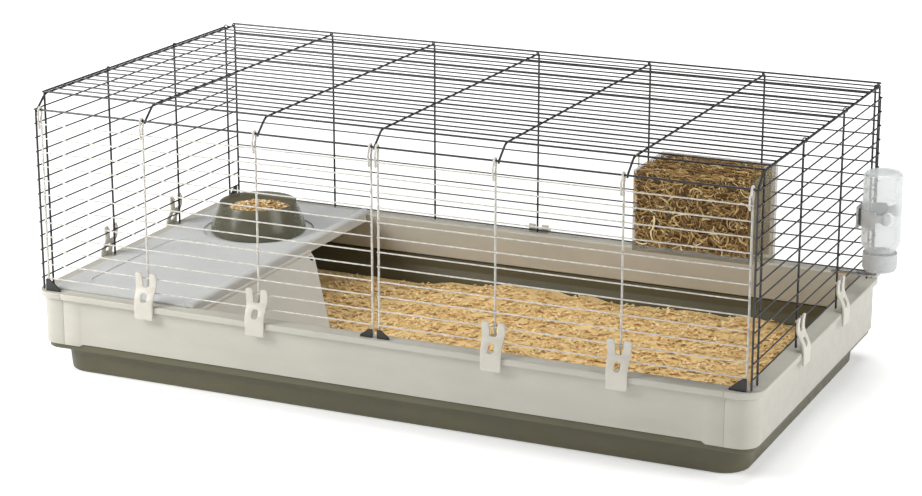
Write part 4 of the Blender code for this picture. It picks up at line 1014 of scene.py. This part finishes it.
def ribbed_cap():
    """Screw cap whose side is cut by a groove at every third of its segments."""
    centre = (CAP_LOW + CAP_HIGH) / 2
    radius, height = (CAP_HIGH.x - CAP_LOW.x) / 2, CAP_HIGH.z - CAP_LOW.z
    path = [(0, 0, 0), (0.010, 0.0, 0), (radius - 0.003, 0.0005, 0), (radius, 0.006, 0),
            (radius, height, 0), (0, height, 0)]
    profile = softened(path, [0, 0.001, 0.004, 0.002, 0.0012, 0], 4)
    mesh = turned([(max(p.x, 0), p.y) for p in profile], 144)
    for vert in mesh.vertices:
        flat = Vector((vert.co.x, vert.co.y))
        on_side = flat.length > radius - 0.002 and 0.004 < vert.co.z < height - 0.003
        if on_side and vert.index % 3 == 0:
            vert.co.x, vert.co.y = flat * (1 - 0.0007 / radius)
        vert.co += Vector((centre.x, centre.y, CAP_LOW.z))
    return mesh


def build_bottle():
    add_piece("clear_bottle", bottle_shell(), FINISHES["bottle"], "water_bottle",
              ["bottle"])
    add_piece("screw_cap", ribbed_cap(), FINISHES["bracket"], "water_bottle",
              ["bottle_cap"])
    add_piece("holder_arms", holder_arms(), FINISHES["bracket"], "wire_top")
    round_edges("bottle_bracket", 0.0007)


# ---------------------------------------- carried-over CAD nodes
def dress_cad_nodes():
    """Rounded edges and real finishes for the CAD nodes that stay in view."""
    gussets = [name for name in frame["nodes"] if name.endswith("gusset")]
    finishes = {"shelf": "shelf", "ramp": "ramp", "ramp_peg_front": "corner",
                "ramp_peg_back": "corner", "hay_rack": "rack", "bottle_bracket": "bracket",
                "clip_back": "clip", "sipper_tube": "steel", "sipper_ball": "steel"}
    finishes.update({name: "corner" for name in gussets})
    for name, finish in finishes.items():
        materials = frame["nodes"][name].data.materials
        materials.clear()
        materials.append(FINISHES[finish])
    for name in ("shelf", "ramp", "clip_back"):
        round_edges(name, 0.0007)
    for name in gussets:
        round_edges(name, 0.0006)


# ---------------------------------------- studio
CAMERA_PLACE = (1.5626, -3.4334, 1.2959)
CAMERA_AZIMUTH, CAMERA_ELEVATION = radians(24.506), radians(16.315)
CAMERA_LENS = 96.24
FLOOR_HALF = 24
FLOOR_GLOW = {"From Min": 0.9, "From Max": 2.6, "To Min": 0.24, "To Max": 0.95}   # by distance
LIGHTS = (                            # place, target, size, power
    ("key", (-2.4, -3.0, 3.4), (0, 0, 0.2), 2.6, 24),
    ("left", (-1.6, -1.2, 1.2), (-0.5, 0, 0.1), 1.0, 36),
    ("top", (0.2, 0.8, 3.6), (0, 0, 0.1), 2.8, 82),
    ("right", (3.2, -0.5, 1.9), (0.3, 0, 0.1), 2.0, 68),
)


def link(name, data, place):
    item = bpy.data.objects.new(name, data)
    bpy.context.scene.collection.objects.link(item)
    item.location = place
    return item


def build_lights():
    for name, place, target, size, power in LIGHTS:
        light = bpy.data.lights.new(name, "AREA")
        light.shape, light.size, light.energy = "DISK", size, power
        aim = Vector(target) - Vector(place)
        link(name, light, place).rotation_euler = aim.to_track_quat("-Z", "Y").to_euler()


def build_floor():
    """Pale floor that glows more the further it lies from the middle, so its edge stays white."""
    work = bmesh.new()
    bmesh.ops.create_grid(work, x_segments=2, y_segments=2, size=FLOOR_HALF)
    mesh = bpy.data.meshes.new("floor")
    work.to_mesh(mesh)
    work.free()
    finish, tree, shader = new_finish("pale_floor")
    colour_by(tree, shader, noise_field(tree, 3), [(0.3, (0.93,) * 3), (0.7, (0.96,) * 3)])
    shader.inputs["Roughness"].default_value = 0.9
    shader.inputs["Emission Color"].default_value = (1, 1, 1, 1)
    coords = tree.nodes.new("ShaderNodeTexCoord")
    distance = tree.nodes.new("ShaderNodeVectorMath")
    distance.operation = "LENGTH"
    tree.links.new(coords.outputs["Object"], distance.inputs[0])
    glow = tree.nodes.new("ShaderNodeMapRange")
    for socket, value in FLOOR_GLOW.items():
        glow.inputs[socket].default_value = value
    tree.links.new(distance.outputs["Value"], glow.inputs["Value"])
    tree.links.new(glow.outputs["Result"], shader.inputs["Emission Strength"])
    mesh.materials.append(finish)
    link("floor", mesh, (0, 0, TRAY_LOW.z - 0.0005))


def build_studio():
    scene = bpy.context.scene
    scene.view_settings.view_transform = "Standard"
    scene.world = bpy.data.worlds.new("studio")
    scene.world.use_nodes = True
    background = scene.world.node_tree.nodes["Background"]
    background.inputs["Color"].default_value = (1.0, 1.0, 1.0, 1.0)
    background.inputs["Strength"].default_value = 0.10
    build_lights()
    build_floor()
    camera = bpy.data.cameras.new("camera")
    camera.lens, camera.sensor_width, camera.clip_end = CAMERA_LENS, 36, 60
    scene.camera = link("camera", camera, CAMERA_PLACE)
    scene.camera.rotation_euler = (pi / 2 - CAMERA_ELEVATION, 0, CAMERA_AZIMUTH)


build_base()
build_wire_top()
build_feeders()
build_bottle()
dress_cad_nodes()
build_studio()
